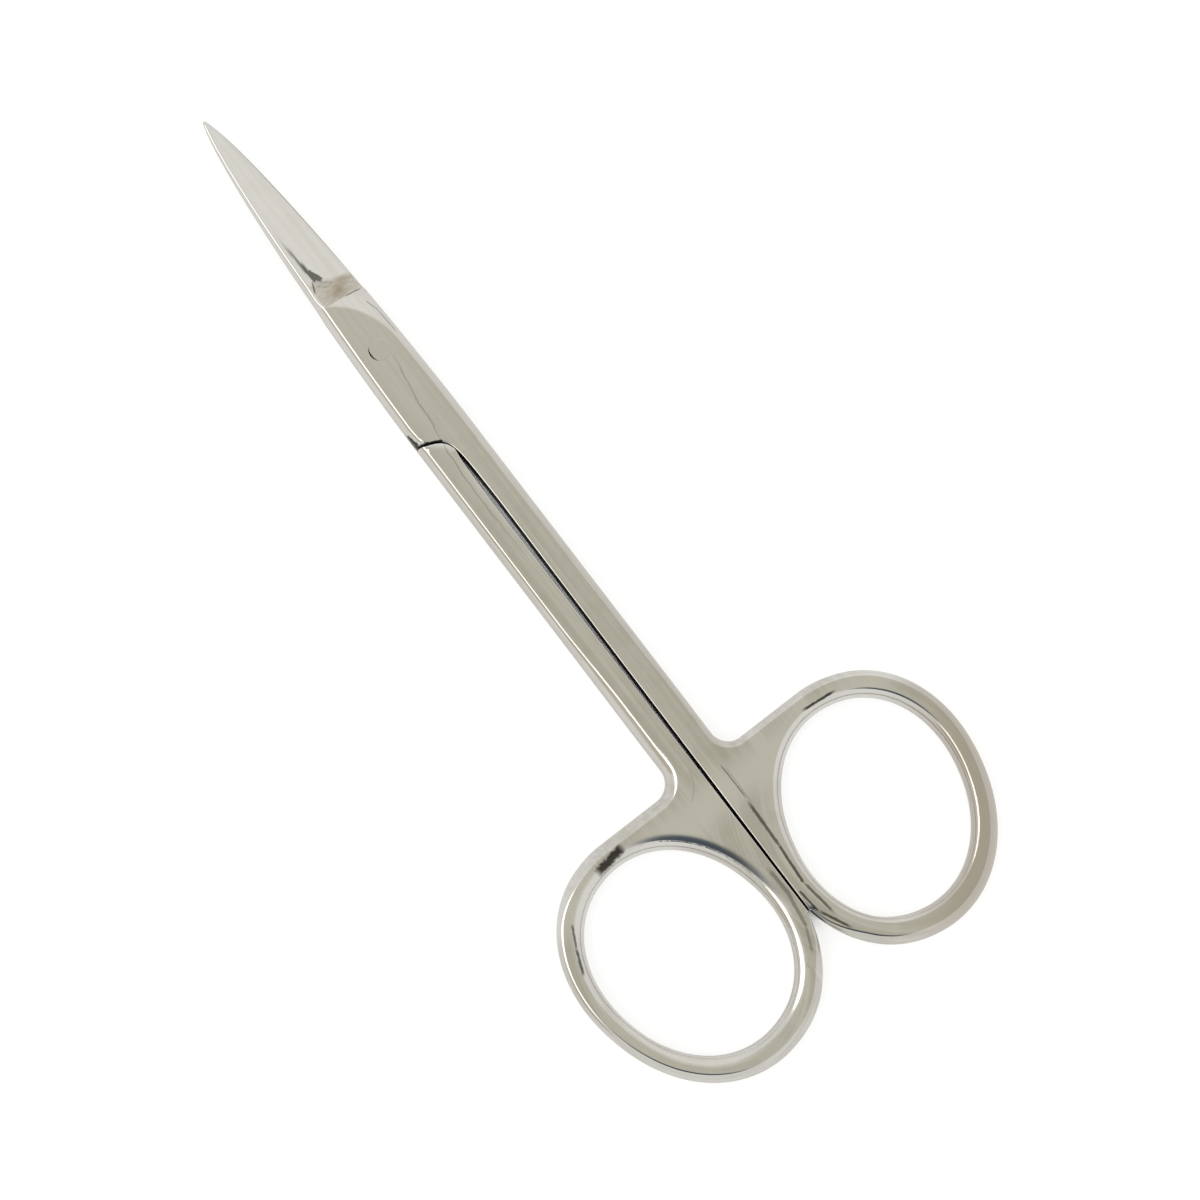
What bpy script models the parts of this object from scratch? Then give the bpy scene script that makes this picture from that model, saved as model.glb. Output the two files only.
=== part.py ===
"""Iris scissors, 4 1/2 inch pattern, closed and lying flat.

The scissors are three pieces: two halves from one forging, and the screw that joins them. A half is
drawn about the pivot: its origin is on the pivot's axis at the lap plane, its tip points to -X, its
ring lies on the +Y side and its blade's spine on the -Y side. The upper half stands as drawn. The
lower half is the same forging turned half a turn about X, so the two laps meet face to face.
"""

import math

import bmesh
import bpy
from mathutils import Matrix, Vector
from mathutils.geometry import delaunay_2d_cdt, interpolate_bezier

MM = 0.001

# Overall sizes
OVERALL_LENGTH = 115.0 * MM
THICKNESS = 3.2 * MM
TIP_TO_PIVOT = 30.4 * MM
BOX_HALF_WIDTH = 3.22 * MM
SHANK_HALF_WIDTH = 3.27 * MM
RIM_ROUNDING = 0.68 * MM

# Blade, with its lengths measured back from the tip
BLADE_LENGTH = 23.9 * MM
TIP_RADIUS = 0.24 * MM
TIP_THICKNESS = 0.4 * MM
SPINE_THICKNESS_AT_ROOT = 1.3 * MM
EDGE_THICKNESS = 0.3 * MM
EDGE_BEVEL = 0.2 * MM
EDGE_LAND = 0.06 * MM
EDGE_SETBACK = 0.13 * MM
GRIND_RADIUS = 3.9 * MM
ROOT_LINE_LEAN = 0.5 * MM
HOLLOW_DEPTH = 0.08 * MM
FLANK_LENGTH = 44.0 * MM
FLANK_HANDLE_TIP = Vector((5.8 * MM, 2.1 * MM))
FLANK_HANDLE_BOX = Vector((30.0 * MM, 3.32 * MM))

# Polished bevel that runs from the box's flat face down to the blade's cutting edge. The Bezier points of
# its upper line are shares of its reach behind the blade's root, and of the box's half width.
BEVEL_DEPTH = 0.55 * MM
BEVEL_WIDTH = 2.6 * MM
BEVEL_REACH = 8.2 * MM
BEVEL_LINE = ((-0.06, -0.54), (0.12, 0.2), (0.35, 0.62), (1.0, 0.84))

# Shoulder where one half's lap ends and the other half's shank begins. The Bezier points of its curve are
# shares of its length behind its front, and of the slot's half width.
TIP_TO_SHOULDER = 41.0 * MM
SHOULDER_LENGTH = 2.3 * MM
SHOULDER_GAP = 0.2 * MM
SHOULDER_CURVE = ((0.45, -1.5), (0.65, -0.5))
SHOULDER_CORNER_RELIEF = 0.1 * MM
LAP_GAP = 0.05 * MM

# Slot between the shanks
SLOT_HALF_WIDTH = 0.33 * MM
RING_HALF_GAP = 0.1 * MM

# Finger rings: ovals with their long axis turned in towards the heel. The band is thicker at their ends.
RING_OPENING_LONG = 23.6 * MM
RING_OPENING_SHORT = 19.4 * MM
RING_BAND = 2.5 * MM
RING_END_BAND = 2.9 * MM
RING_TILT = math.radians(-13.0)
RING_FULLNESS = 2.1
HEEL_FILLET = 2.3 * MM

# Pivot screw
SCREW_RADIUS = 1.15 * MM
SCREW_CLEARANCE = 0.04 * MM
HEAD_RADIUS = 2.0 * MM
HEAD_HEIGHT = 0.75 * MM
HEAD_CLEARANCE = 0.1 * MM
HEAD_RECESS = 0.08 * MM
HEAD_ROUNDING = 0.2 * MM
DRIVER_SLOT_WIDTH = 0.5 * MM
DRIVER_SLOT_DEPTH = 0.32 * MM

# How finely the curves are divided
FLANK_POINTS = 16
RING_POINTS = 96
TURNED_STEPS = 64
RIM_STEPS = 1
OVERRUN = 4.0 * MM

STEEL = (0.62, 0.60, 0.55, 1.0)

# Sizes that follow from those above, in the half's own axes
HALF_THICKNESS = THICKNESS / 2
TIP_X = -TIP_TO_PIVOT
BLADE_ROOT_X = TIP_X + BLADE_LENGTH
ROOT_LINE_X = BLADE_ROOT_X - ROOT_LINE_LEAN
SHOULDER_X = TIP_X + TIP_TO_SHOULDER
SLOT_START_X = SHOULDER_X + 4 * SHOULDER_LENGTH
HEEL_X = TIP_X + OVERALL_LENGTH
RING_LONG = RING_OPENING_LONG / 2 + RING_END_BAND
RING_SHORT = RING_OPENING_SHORT / 2 + RING_BAND


def grind_run(depth):
    """How far along the blade the grinding wheel's hollow reaches while it rises by this depth."""
    return math.sqrt(2 * GRIND_RADIUS * depth - depth**2)


GRIND_START_X = BLADE_ROOT_X - grind_run(HALF_THICKNESS - EDGE_THICKNESS)
GRIND_START_AT_SPINE_X = ROOT_LINE_X - grind_run(HALF_THICKNESS - SPINE_THICKNESS_AT_ROOT)


def clear_scene():
    for obj in list(bpy.data.objects):
        bpy.data.objects.remove(obj, do_unlink=True)


def new_collection(name):
    collection = bpy.data.collections.new(name)
    bpy.context.scene.collection.children.link(collection)
    return collection


def steel(name, roughness):
    material = bpy.data.materials.new(name)
    material.use_nodes = True
    shader = material.node_tree.nodes["Principled BSDF"]
    shader.inputs["Base Color"].default_value = STEEL
    shader.inputs["Metallic"].default_value = 1.0
    shader.inputs["Roughness"].default_value = roughness
    return material


def new_object(name, mesh, collection):
    obj = bpy.data.objects.new(name, mesh)
    collection.objects.link(obj)
    return obj


def mesh_of(obj, name):
    """A mesh of the object with its modifiers applied. The object itself is removed."""
    graph = bpy.context.evaluated_depsgraph_get()
    mesh = bpy.data.meshes.new_from_object(obj.evaluated_get(graph))
    mesh.name = name
    bpy.data.objects.remove(obj, do_unlink=True)
    return mesh


def bezier(start, handle_start, handle_end, end, segments):
    """Points along a Bezier curve, both ends included."""
    return interpolate_bezier(start, handle_start, handle_end, end, segments + 1)


def arc(centre, radius, start, end, segments):
    angles = [start + (end - start) * step / segments for step in range(segments + 1)]
    return [centre + radius * Vector((math.cos(angle), math.sin(angle))) for angle in angles]


def mirrored(points):
    return [Vector((point.x, -point.y)) for point in points]


def shifted(points, along_x, along_y):
    return [point + Vector((along_x, along_y)) for point in points]


def inside(place, sides):
    """Whether a place lies between closed outlines: a line from it towards +X crosses their sides an odd
    number of times."""
    crossings = 0
    for start, end in sides:
        if (start.y > place.y) != (end.y > place.y):
            share = (place.y - start.y) / (end.y - start.y)
            crossings += start.x + share * (end.x - start.x) > place.x
    return crossings % 2 == 1


def refill_caps(shape):
    """Fills the top and bottom again with even triangles, each between near points of the rim, so that a
    face that thins towards one end is flat across. The rounded rim's own faces have four sides."""
    for side in (1, -1):
        caps = {face for face in shape.faces if len(face.verts) == 3 and side * face.normal.z > 0}
        rim = [edge for edge in shape.edges if len(caps.intersection(edge.link_faces)) == 1]
        corners = list({vertex for edge in rim for vertex in edge.verts})
        number = {vertex: index for index, vertex in enumerate(corners)}
        bmesh.ops.delete(shape, geom=list(caps), context="FACES")
        places = [vertex.co.xy for vertex in corners]
        borders = [(number[edge.verts[0]], number[edge.verts[1]]) for edge in rim]
        sides = [(places[start], places[end]) for start, end in borders]
        for triangle in delaunay_2d_cdt(places, borders, [], 0, 1e-9)[2]:
            middle = sum((places[index] for index in triangle), Vector((0.0, 0.0))) / 3
            if inside(middle, sides):
                shape.faces.new([corners[index] for index in triangle])


def plate(name, outlines, thickness, rim=0.0, rim_steps=0, thinning=None):
    """A flat solid centred on the XY plane, with its rim rounded. The function thinning, if there is one,
    gives the share of the thickness and of the rounding that is left at each point of the outlines."""
    curve = bpy.data.curves.new(name, "CURVE")
    curve.dimensions = "2D"
    curve.fill_mode = "BOTH"
    curve.extrude = thickness / 2 - rim
    curve.bevel_depth = rim
    curve.bevel_resolution = rim_steps
    curve.offset = -rim
    for outline in outlines:
        spline = curve.splines.new("POLY")
        spline.use_cyclic_u = True
        spline.points.add(len(outline) - 1)
        for point, place in zip(spline.points, outline):
            point.co = (place.x, place.y, 0.0, 1.0)
            point.radius = thinning(place) if thinning else 1.0
    obj = new_object(name, curve, cutters)
    mesh = mesh_of(obj, name)
    bpy.data.curves.remove(curve)
    shape = bmesh.new()
    shape.from_mesh(mesh)
    bmesh.ops.remove_doubles(shape, verts=shape.verts, dist=1e-7)
    bmesh.ops.recalc_face_normals(shape, faces=shape.faces)
    if thinning:
        refill_caps(shape)
        bmesh.ops.recalc_face_normals(shape, faces=shape.faces)
    shape.to_mesh(mesh)
    shape.free()
    return new_object(name, mesh, cutters)


def turned(name, profile, collection):
    """A round solid about Z. The profile's (radius, height) points run from top to bottom."""
    mesh = bpy.data.meshes.new(name)
    points = [(radius, 0.0, height) for radius, height in profile]
    edges = [(step, step + 1) for step in range(len(points) - 1)]
    mesh.from_pydata(points, edges, [])
    obj = new_object(name, mesh, collection)
    screw = obj.modifiers.new("Turn", "SCREW")
    screw.steps = TURNED_STEPS
    screw.render_steps = TURNED_STEPS
    screw.use_merge_vertices = True
    screw.merge_threshold = 1e-6
    return obj


def cut(obj, cutter):
    cutter.hide_render = True
    cutter.display_type = "WIRE"
    boolean = obj.modifiers.new(cutter.name, "BOOLEAN")
    boolean.operation = "DIFFERENCE"
    boolean.object = cutter


def finished(obj, material):
    """The object with its cuts made, shaded smooth but for its real edges."""
    name = obj.name
    mesh = mesh_of(obj, name)
    mesh.materials.clear()
    mesh.materials.append(material)
    mesh.shade_smooth()
    mesh.set_sharp_from_angle(angle=math.radians(32.0))
    return new_object(name, mesh, parts)


def with_points_at(points, stations):
    """The points, which run towards +X, with one more on the line wherever it passes a station."""
    points = list(points)
    for station in stations:
        after = next(index for index, point in enumerate(points) if point.x >= station)
        share = (station - points[after - 1].x) / (points[after].x - points[after - 1].x)
        points.insert(after, points[after - 1].lerp(points[after], share))
    return points


def half_width_at(station):
    """The flank's distance from the long axis at a station."""
    return next(point for point in with_points_at(flank(), [station]) if point.x >= station).y


def flank():
    """The blade's spine and the box's side, as points from the tip back, on the +Y side."""
    tip = Vector((TIP_X, 0.0))
    side = bezier(
        Vector((TIP_X + TIP_RADIUS, TIP_RADIUS)),
        tip + FLANK_HANDLE_TIP,
        tip + FLANK_HANDLE_BOX,
        Vector((TIP_X + FLANK_LENGTH, BOX_HALF_WIDTH)),
        FLANK_POINTS,
    )
    nose = arc(tip + Vector((TIP_RADIUS, 0.0)), TIP_RADIUS, math.pi, math.pi / 2, 4)
    return with_points_at(nose[:-1] + side, [GRIND_START_X, ROOT_LINE_X, BLADE_ROOT_X])


def cutting_side():
    """The flank on the cutting edge's side: it lies a little inside the other blade's spine, so that the
    closed edges are guarded, and meets the box's side at the blade's root."""
    points = []
    for point in flank():
        share = min((point.x - TIP_X) / BLADE_LENGTH, 1.0)
        setback = EDGE_SETBACK * math.sin(math.pi * share)
        points.append(Vector((point.x, point.y - setback)))
    return points


def oval(centre, long_radius, short_radius, segments=RING_POINTS):
    """A closed oval, a little fuller than an ellipse, anticlockwise from its heel end."""
    turn = Matrix.Rotation(RING_TILT, 2)
    points = []
    for step in range(segments):
        angle = 2 * math.pi * step / segments
        across = math.copysign(abs(math.cos(angle)) ** (2 / RING_FULLNESS), math.cos(angle))
        up = math.copysign(abs(math.sin(angle)) ** (2 / RING_FULLNESS), math.sin(angle))
        points.append(centre + turn @ Vector((long_radius * across, short_radius * up)))
    return points


def ring_centre():
    """The ring's place: its far side ends the scissors and its near side almost meets the other ring."""
    rim = oval(Vector((0.0, 0.0)), RING_LONG, RING_SHORT, 720)
    return Vector((HEEL_X - max(point.x for point in rim), RING_HALF_GAP - min(point.y for point in rim)))


def slot_end_x():
    """Where the ring's rim leaves the slot: a little past the rim's lowest point."""
    low = min(oval(ring_centre(), RING_LONG, RING_SHORT), key=lambda point: point.y)
    return low.x + RING_BAND


def blank_outline():
    """The forging seen from above, anticlockwise from the tip. On the slot's side it is left wider than the
    finished half, so that the cuts made there leave sharp edges."""
    centre = ring_centre()
    rim = oval(centre, RING_LONG, RING_SHORT)
    left = min(rim, key=lambda point: point.x)
    kept = [point for point in rim if point.x > slot_end_x() or point.y > left.y]
    start = min((point for point in kept if point.x > slot_end_x()), key=lambda point: point.y)
    first = kept.index(start)
    kept = kept[first:] + kept[:first]
    after = kept[1] - kept[0]
    excess = RIM_ROUNDING + SLOT_HALF_WIDTH
    run = (start.y + excess) * after.x / after.y
    waist = [
        Vector((SHOULDER_X + 2 * SHOULDER_LENGTH, -BOX_HALF_WIDTH)),
        Vector((SHOULDER_X + 3 * SHOULDER_LENGTH, -excess)),
        Vector((start.x - run, -excess)),
    ]
    corner = Vector((left.x - HEEL_FILLET, SHANK_HALF_WIDTH + HEEL_FILLET))
    fillet = arc(corner, HEEL_FILLET, 0.0, -math.pi / 2, 8)
    spine = [point for point in mirrored(flank()) if point.x < SHOULDER_X + SHOULDER_LENGTH]
    return spine + waist + kept + fillet + cutting_side()[:0:-1]


def blade_share(place):
    """How much of the forging's thickness is left: all of it behind the blade, thinning to the tip."""
    root_share = SPINE_THICKNESS_AT_ROOT / HALF_THICKNESS
    tip_share = TIP_THICKNESS / HALF_THICKNESS
    if place.x >= ROOT_LINE_X:
        return 1.0
    if place.x >= GRIND_START_X:
        return root_share + (1.0 - root_share) * (place.x - GRIND_START_X) / (ROOT_LINE_X - GRIND_START_X)
    return tip_share + (root_share - tip_share) * (place.x - TIP_X) / (GRIND_START_X - TIP_X)


def shoulder():
    """The S-shaped end of the lap on the +Y side, from the box's side in to the slot's edge."""
    handles = [
        Vector((SHOULDER_X + along * SHOULDER_LENGTH, across * SLOT_HALF_WIDTH))
        for along, across in SHOULDER_CURVE
    ]
    front = Vector((SHOULDER_X, BOX_HALF_WIDTH - 3 * SHOULDER_CORNER_RELIEF))
    return bezier(front, *handles, Vector((SLOT_START_X, -SLOT_HALF_WIDTH)), 14)


def slot_cutter():
    """Everything beyond the lap's end and the slot's edge, which lie on the half's -Y side."""
    far = BOX_HALF_WIDTH + OVERRUN
    front = shoulder()[0]
    eased = BOX_HALF_WIDTH - SHOULDER_CORNER_RELIEF
    relief = bezier(
        Vector((front.x - SHOULDER_LENGTH, BOX_HALF_WIDTH + SHOULDER_CORNER_RELIEF / 5)),
        Vector((front.x - SHOULDER_LENGTH / 3, eased)),
        Vector((front.x - SHOULDER_LENGTH / 9, eased)),
        front,
        5,
    )
    slot_end = Vector((slot_end_x(), -RING_HALF_GAP))
    edge = mirrored(relief[:-1] + shoulder() + [slot_end])
    corners = [Vector((slot_end.x, -far)), Vector((edge[0].x, -far))]
    return plate("slot_cutter", [edge + corners], 2 * THICKNESS)


def lap_cutter():
    """The other half's room: below the lap plane, from the tip to the shoulder."""
    far = BOX_HALF_WIDTH + OVERRUN
    edge = shifted(shoulder(), SHOULDER_GAP, 0.0)
    edge[0].y = far
    ahead = TIP_X - OVERRUN
    corners = [Vector((edge[-1].x, -far)), Vector((ahead, -far)), Vector((ahead, far))]
    cutter = plate("lap_cutter", [edge + corners], THICKNESS)
    cutter.location.z = LAP_GAP / 2 - HALF_THICKNESS
    return cutter


def grind_cutter():
    """The blade's ground face: a plane that falls from the spine to the cutting edge and from the root to
    the tip, and ends at the box in the hollow that the wheel leaves."""
    half_width = half_width_at(GRIND_START_X)
    ridge = half_width - RIM_ROUNDING * SPINE_THICKNESS_AT_ROOT / HALF_THICKNESS
    fall = (SPINE_THICKNESS_AT_ROOT - EDGE_THICKNESS) / (ridge + half_width)
    middle = EDGE_THICKNESS + fall * half_width
    pitch = math.atan2(middle - TIP_THICKNESS, GRIND_START_X - TIP_X)
    yaw = math.atan2(GRIND_START_AT_SPINE_X - GRIND_START_X, ridge + half_width)
    start_x = GRIND_START_X + half_width * math.tan(yaw)
    wheel = arc(Vector((0.0, GRIND_RADIUS)), GRIND_RADIUS, -math.pi / 2, 0.0, 14)
    top = GRIND_RADIUS + THICKNESS
    ahead = TIP_X - GRIND_START_X - OVERRUN
    outline = [Vector((ahead, 0.0))] + wheel + [Vector((GRIND_RADIUS, top)), Vector((ahead, top))]
    cutter = plate("grind_cutter", [outline], 4 * OVERRUN)
    stand = Matrix.Rotation(math.pi / 2, 4, "X")
    lean = Matrix.Rotation(-math.atan(fall), 4, "X") @ Matrix.Rotation(-pitch, 4, "Y")
    turn = Matrix.Rotation(yaw, 4, "Z")
    cutter.matrix_world = Matrix.Translation((start_x, 0.0, middle)) @ lean @ turn @ stand
    return cutter


def bevel_cutter():
    """The polished bevel at the box's corner. Its upper line curves from the spine's side of the blade's
    root round to the box's side, and it slopes down from there to the cutting edge."""
    line = bezier(
        *[
            Vector((BLADE_ROOT_X + along * BEVEL_REACH, across * BOX_HALF_WIDTH))
            for along, across in BEVEL_LINE
        ],
        14,
    )
    far = BOX_HALF_WIDTH + 3 * BEVEL_WIDTH
    ahead = TIP_X - BEVEL_WIDTH
    corners = [Vector((line[-1].x, far)), Vector((ahead, far)), Vector((ahead, line[0].y))]
    cutter = plate("bevel_cutter", [line + corners], 4 * BEVEL_WIDTH, rim=BEVEL_WIDTH)
    slope = BEVEL_DEPTH / BEVEL_WIDTH
    cutter.data.transform(Matrix.Diagonal((1.0, 1.0, slope, 1.0)))
    cutter.location.z = HALF_THICKNESS + BEVEL_DEPTH + slope * EDGE_BEVEL / 2
    return cutter


def edge_cutter():
    """The steep bevel that sharpens the cutting edge, over a thin land."""
    edge = [point for point in cutting_side() if TIP_X + TIP_RADIUS <= point.x < BLADE_ROOT_X]
    inner = shifted(edge, 0.0, -EDGE_BEVEL)
    far = BOX_HALF_WIDTH + OVERRUN
    ahead = TIP_X - OVERRUN
    corners = [Vector((inner[-1].x, far)), Vector((ahead, far)), Vector((ahead, inner[0].y))]
    cutter = plate("edge_cutter", [inner + corners], 4 * EDGE_BEVEL, rim=EDGE_BEVEL)
    cutter.location.z = EDGE_LAND + LAP_GAP / 2 + 2 * EDGE_BEVEL
    return cutter


def hollow_cutter():
    """The shallow hollow in the blade's inner face, which runs out towards the tip."""
    half_chord = half_width_at(GRIND_START_X) - 2 * EDGE_BEVEL
    radius = (half_chord**2 + HOLLOW_DEPTH**2) / (2 * HOLLOW_DEPTH)
    half_angle = math.asin(half_chord / radius)
    start = math.pi / 2 - half_angle
    bow = arc(Vector((0.0, HOLLOW_DEPTH - radius)), radius, start, start + 2 * half_angle, 10)
    below = -HALF_THICKNESS
    outline = bow + [Vector((-half_chord, below)), Vector((half_chord, below))]
    length = GRIND_START_X - TIP_X
    cutter = plate("hollow_cutter", [outline], length)
    stand = Matrix.Rotation(math.pi / 2, 4, "Z") @ Matrix.Rotation(math.pi / 2, 4, "X")
    lean = Matrix.Rotation(-math.atan(2 * HOLLOW_DEPTH / length), 4, "Y")
    middle = Vector((GRIND_START_X - length / 2, 0.0, LAP_GAP / 2 - HOLLOW_DEPTH))
    cutter.matrix_world = Matrix.Translation(middle) @ lean @ stand
    return cutter


def forge_half():
    """The mesh that both halves share, before the pivot's hole is drilled."""
    opening = oval(ring_centre(), RING_OPENING_LONG / 2, RING_OPENING_SHORT / 2)
    half = plate(
        "forging",
        [blank_outline(), opening],
        THICKNESS,
        rim=RIM_ROUNDING,
        rim_steps=RIM_STEPS,
        thinning=blade_share,
    )
    for make_cutter in (slot_cutter, lap_cutter, grind_cutter, bevel_cutter, edge_cutter, hollow_cutter):
        cut(half, make_cutter())
    return mesh_of(half, "forging")


def bore_cutter(name):
    radius = SCREW_RADIUS + SCREW_CLEARANCE
    profile = [(0.0, THICKNESS), (radius, THICKNESS), (radius, -THICKNESS), (0.0, -THICKNESS)]
    return turned(name, profile, cutters)


def head_cutter(name):
    """Room for the screw's head, below the lower half's underside."""
    radius = HEAD_RADIUS + HEAD_CLEARANCE
    floor = HEAD_RECESS + HEAD_HEIGHT + HEAD_CLEARANCE / 2 - HALF_THICKNESS
    profile = [(0.0, floor), (radius, floor), (radius, -THICKNESS), (0.0, -THICKNESS)]
    return turned(name, profile, cutters)


def make_upper_half(forging, material):
    half = new_object("upper_half", forging.copy(), parts)
    cut(half, bore_cutter("threaded_hole"))
    return finished(half, material)


def make_lower_half(forging, material):
    """The same forging, turned over, with room for the screw's head in its underside."""
    mesh = forging.copy()
    mesh.transform(Matrix.Rotation(math.pi, 4, "X"))
    half = new_object("lower_half", mesh, parts)
    cut(half, bore_cutter("plain_hole"))
    cut(half, head_cutter("head_recess"))
    return finished(half, material)


def make_pivot_screw(material):
    """A slotted screw. Its head sits in the lower half, and its end is ground flush with the upper half."""
    bottom = HEAD_RECESS - HALF_THICKNESS
    shelf = bottom + HEAD_HEIGHT
    crown = arc(
        Vector((HEAD_RADIUS - HEAD_ROUNDING, bottom + HEAD_ROUNDING)), HEAD_ROUNDING, 0.0, -math.pi / 2, 4
    )
    shank = [(0.0, HALF_THICKNESS), (SCREW_RADIUS, HALF_THICKNESS), (SCREW_RADIUS, shelf)]
    profile = shank + [(HEAD_RADIUS, shelf)] + [(point.x, point.y) for point in crown] + [(0.0, bottom)]
    screw = turned("pivot_screw", profile, parts)
    slot = bpy.data.meshes.new("driver_slot")
    shape = bmesh.new()
    bmesh.ops.create_cube(shape, size=1.0)
    size = (DRIVER_SLOT_WIDTH, 3 * HEAD_RADIUS, 2 * DRIVER_SLOT_DEPTH)
    bmesh.ops.transform(shape, matrix=Matrix.Diagonal((*size, 1.0)), verts=shape.verts)
    shape.to_mesh(slot)
    shape.free()
    slot_cut = new_object("driver_slot", slot, cutters)
    slot_cut.location.z = bottom
    slot_cut.rotation_euler.z = math.radians(35.0)
    cut(screw, slot_cut)
    return finished(screw, material)


def place_on_pivot(pieces):
    """Sets the pieces, drawn about the pivot, in the scissors' frame: the length's middle is at X = 0, and
    the underside at Z = 0."""
    pivot = bpy.data.objects.new("pivot", None)
    parts.objects.link(pivot)
    pivot.empty_display_size = 4.0 * MM
    pivot.location = (TIP_TO_PIVOT - OVERALL_LENGTH / 2, 0.0, HALF_THICKNESS)
    for piece in pieces:
        piece.parent = pivot


clear_scene()
parts = new_collection("Iris scissors")
cutters = new_collection("Cutters")

forging = forge_half()
polished = steel("polished_steel", 0.16)
screw_steel = steel("screw_steel", 0.24)
upper_half = make_upper_half(forging, polished)
lower_half = make_lower_half(forging, polished)
pivot_screw = make_pivot_screw(screw_steel)
place_on_pivot([upper_half, lower_half, pivot_screw] + list(cutters.objects))
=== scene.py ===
# %% [markdown]
# # Iris scissors in polished steel
#
# These are small surgical scissors, 115 mm long, closed and lying flat. The imported model holds three solids:
# two halves from one forging, and the screw that joins them. Here the halves get their real surfaces: soft
# rims, a ground blade with its hollow root, crisp slot edges and a hand-polished finish. The screw is turned
# again with its slot for a driver, and gets a better material.

# %% Load the frame
import math

import bpy
import numpy as np
from mathutils import Matrix, Vector
from mathutils.geometry import delaunay_2d_cdt


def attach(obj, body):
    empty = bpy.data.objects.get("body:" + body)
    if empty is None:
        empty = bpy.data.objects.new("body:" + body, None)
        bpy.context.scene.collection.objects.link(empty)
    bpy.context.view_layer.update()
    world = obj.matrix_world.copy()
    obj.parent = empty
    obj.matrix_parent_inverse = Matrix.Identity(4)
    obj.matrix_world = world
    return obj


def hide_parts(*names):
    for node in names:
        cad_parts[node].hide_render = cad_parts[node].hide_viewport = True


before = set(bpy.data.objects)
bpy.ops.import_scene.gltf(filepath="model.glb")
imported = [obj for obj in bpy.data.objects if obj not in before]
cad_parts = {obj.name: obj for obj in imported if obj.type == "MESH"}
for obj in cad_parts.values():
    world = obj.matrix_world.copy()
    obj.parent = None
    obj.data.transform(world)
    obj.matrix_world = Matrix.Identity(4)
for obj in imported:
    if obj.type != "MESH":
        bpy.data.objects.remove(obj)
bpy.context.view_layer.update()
print("nodes:", sorted(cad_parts))

# %% [markdown]
# ## Measures
#
# All lengths are in millimetres. A half is drawn about the pivot: the origin is on the pivot's axis at the
# lap plane, where the two halves meet. Its tip points to -X, its ring lies on the +Y side, the blade's spine
# on the -Y side and the cutting edge on the +Y side. Its far face is at z = +1.6 and its near face, which
# only the shank and the ring have, at z = -1.6.

# %% Sizes of a half
LENGTH = 115.0
HALF_THICKNESS = 1.6
TIP_X = -30.4
PIVOT = Vector((-27.1, 0.0, 1.6))
BOX_HALF_WIDTH = 3.22
SHANK_HALF_WIDTH = 3.27
RIM_WIDTH = 0.68
LAP_Z = 0.025

BLADE_ROOT_X = TIP_X + 23.9
ROOT_LINE_X = BLADE_ROOT_X - 0.5
TIP_RADIUS = 0.24
TIP_THICKNESS = 0.4
SPINE_THICKNESS = 1.3
EDGE_THICKNESS = 0.3
EDGE_LAND = 0.06
EDGE_SETBACK = 0.13
WHEEL_RADIUS = 3.9
HOLLOW_DEPTH = 0.08
FLANK_END_X = TIP_X + 44.0

SHOULDER_X = TIP_X + 41.0
SHOULDER_LENGTH = 2.3
SHOULDER_GAP = 0.2
SLOT_START_X = SHOULDER_X + 4 * SHOULDER_LENGTH
SLOT_HALF_WIDTH = 0.33
CORNER_RELIEF = 0.1
EDGE_BREAK = 0.07

OPENING_LONG = 11.8
OPENING_SHORT = 9.7
RING_BAND = 2.5
RING_END_BAND = 2.9
RING_TILT = math.radians(-13.0)
RING_FULLNESS = 2.1
RING_HALF_GAP = 0.1
HEEL_FILLET = 2.3

# %% [markdown]
# ## Curves
#
# Everything on a half starts as a curve seen from above: the blade's flank and the shoulder are Bezier
# curves, the fillet is an arc, and the rings are ovals a little fuller than an ellipse. Each function gives
# a whole array of points at once.

# %% Curve helpers
def bezier(p0, p1, p2, p3, count=120):
    """Cubic Bezier: the four points weighted by (1-t)^3, 3t(1-t)^2, 3t^2(1-t) and t^3, for t from 0 to 1."""
    t = np.linspace(0.0, 1.0, count)[:, None]
    p0, p1, p2, p3 = (np.array(p, float) for p in (p0, p1, p2, p3))
    return (1 - t) ** 3 * p0 + 3 * t * (1 - t) ** 2 * p1 + 3 * t**2 * (1 - t) * p2 + t**3 * p3


def arc(centre, radius, start, end, count=40):
    """Points at equal angles on a circle."""
    angle = np.linspace(start, end, count)
    return np.array(centre) + radius * np.stack([np.cos(angle), np.sin(angle)], 1)


def oval(centre, long_radius, short_radius, count):
    """|x/a|^n + |y/b|^n = 1 with n a little over 2, turned by the ring's tilt, anticlockwise."""
    angle = 2 * np.pi * np.arange(count) / count
    power = 2 / RING_FULLNESS
    x = long_radius * np.sign(np.cos(angle)) * np.abs(np.cos(angle)) ** power
    y = short_radius * np.sign(np.sin(angle)) * np.abs(np.sin(angle)) ** power
    cos, sin = math.cos(RING_TILT), math.sin(RING_TILT)
    return np.array(centre) + np.stack([cos * x - sin * y, sin * x + cos * y], 1)


def even(path, step):
    """The same path with points at equal distances along it, its ends kept."""
    length = np.r_[0.0, np.cumsum(np.hypot(*np.diff(path, axis=0).T))]
    count = max(int(round(length[-1] / step)), 1) + 1
    places = np.linspace(0.0, length[-1], count)
    return np.stack([np.interp(places, length, path[:, k]) for k in (0, 1)], 1)


def join(*paths):
    """Paths end to end, with the point that two of them share kept once."""
    return np.concatenate([paths[0]] + [path[1:] for path in paths[1:]])


def flipped(path):
    """The path mirrored in the long axis."""
    return path * np.array([1.0, -1.0])


def smoothstep(low, high, value):
    """0 below low, 1 above high, and 3s^2 - 2s^3 between."""
    s = np.clip((value - low) / (high - low), 0.0, 1.0)
    return s * s * (3 - 2 * s)


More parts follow.
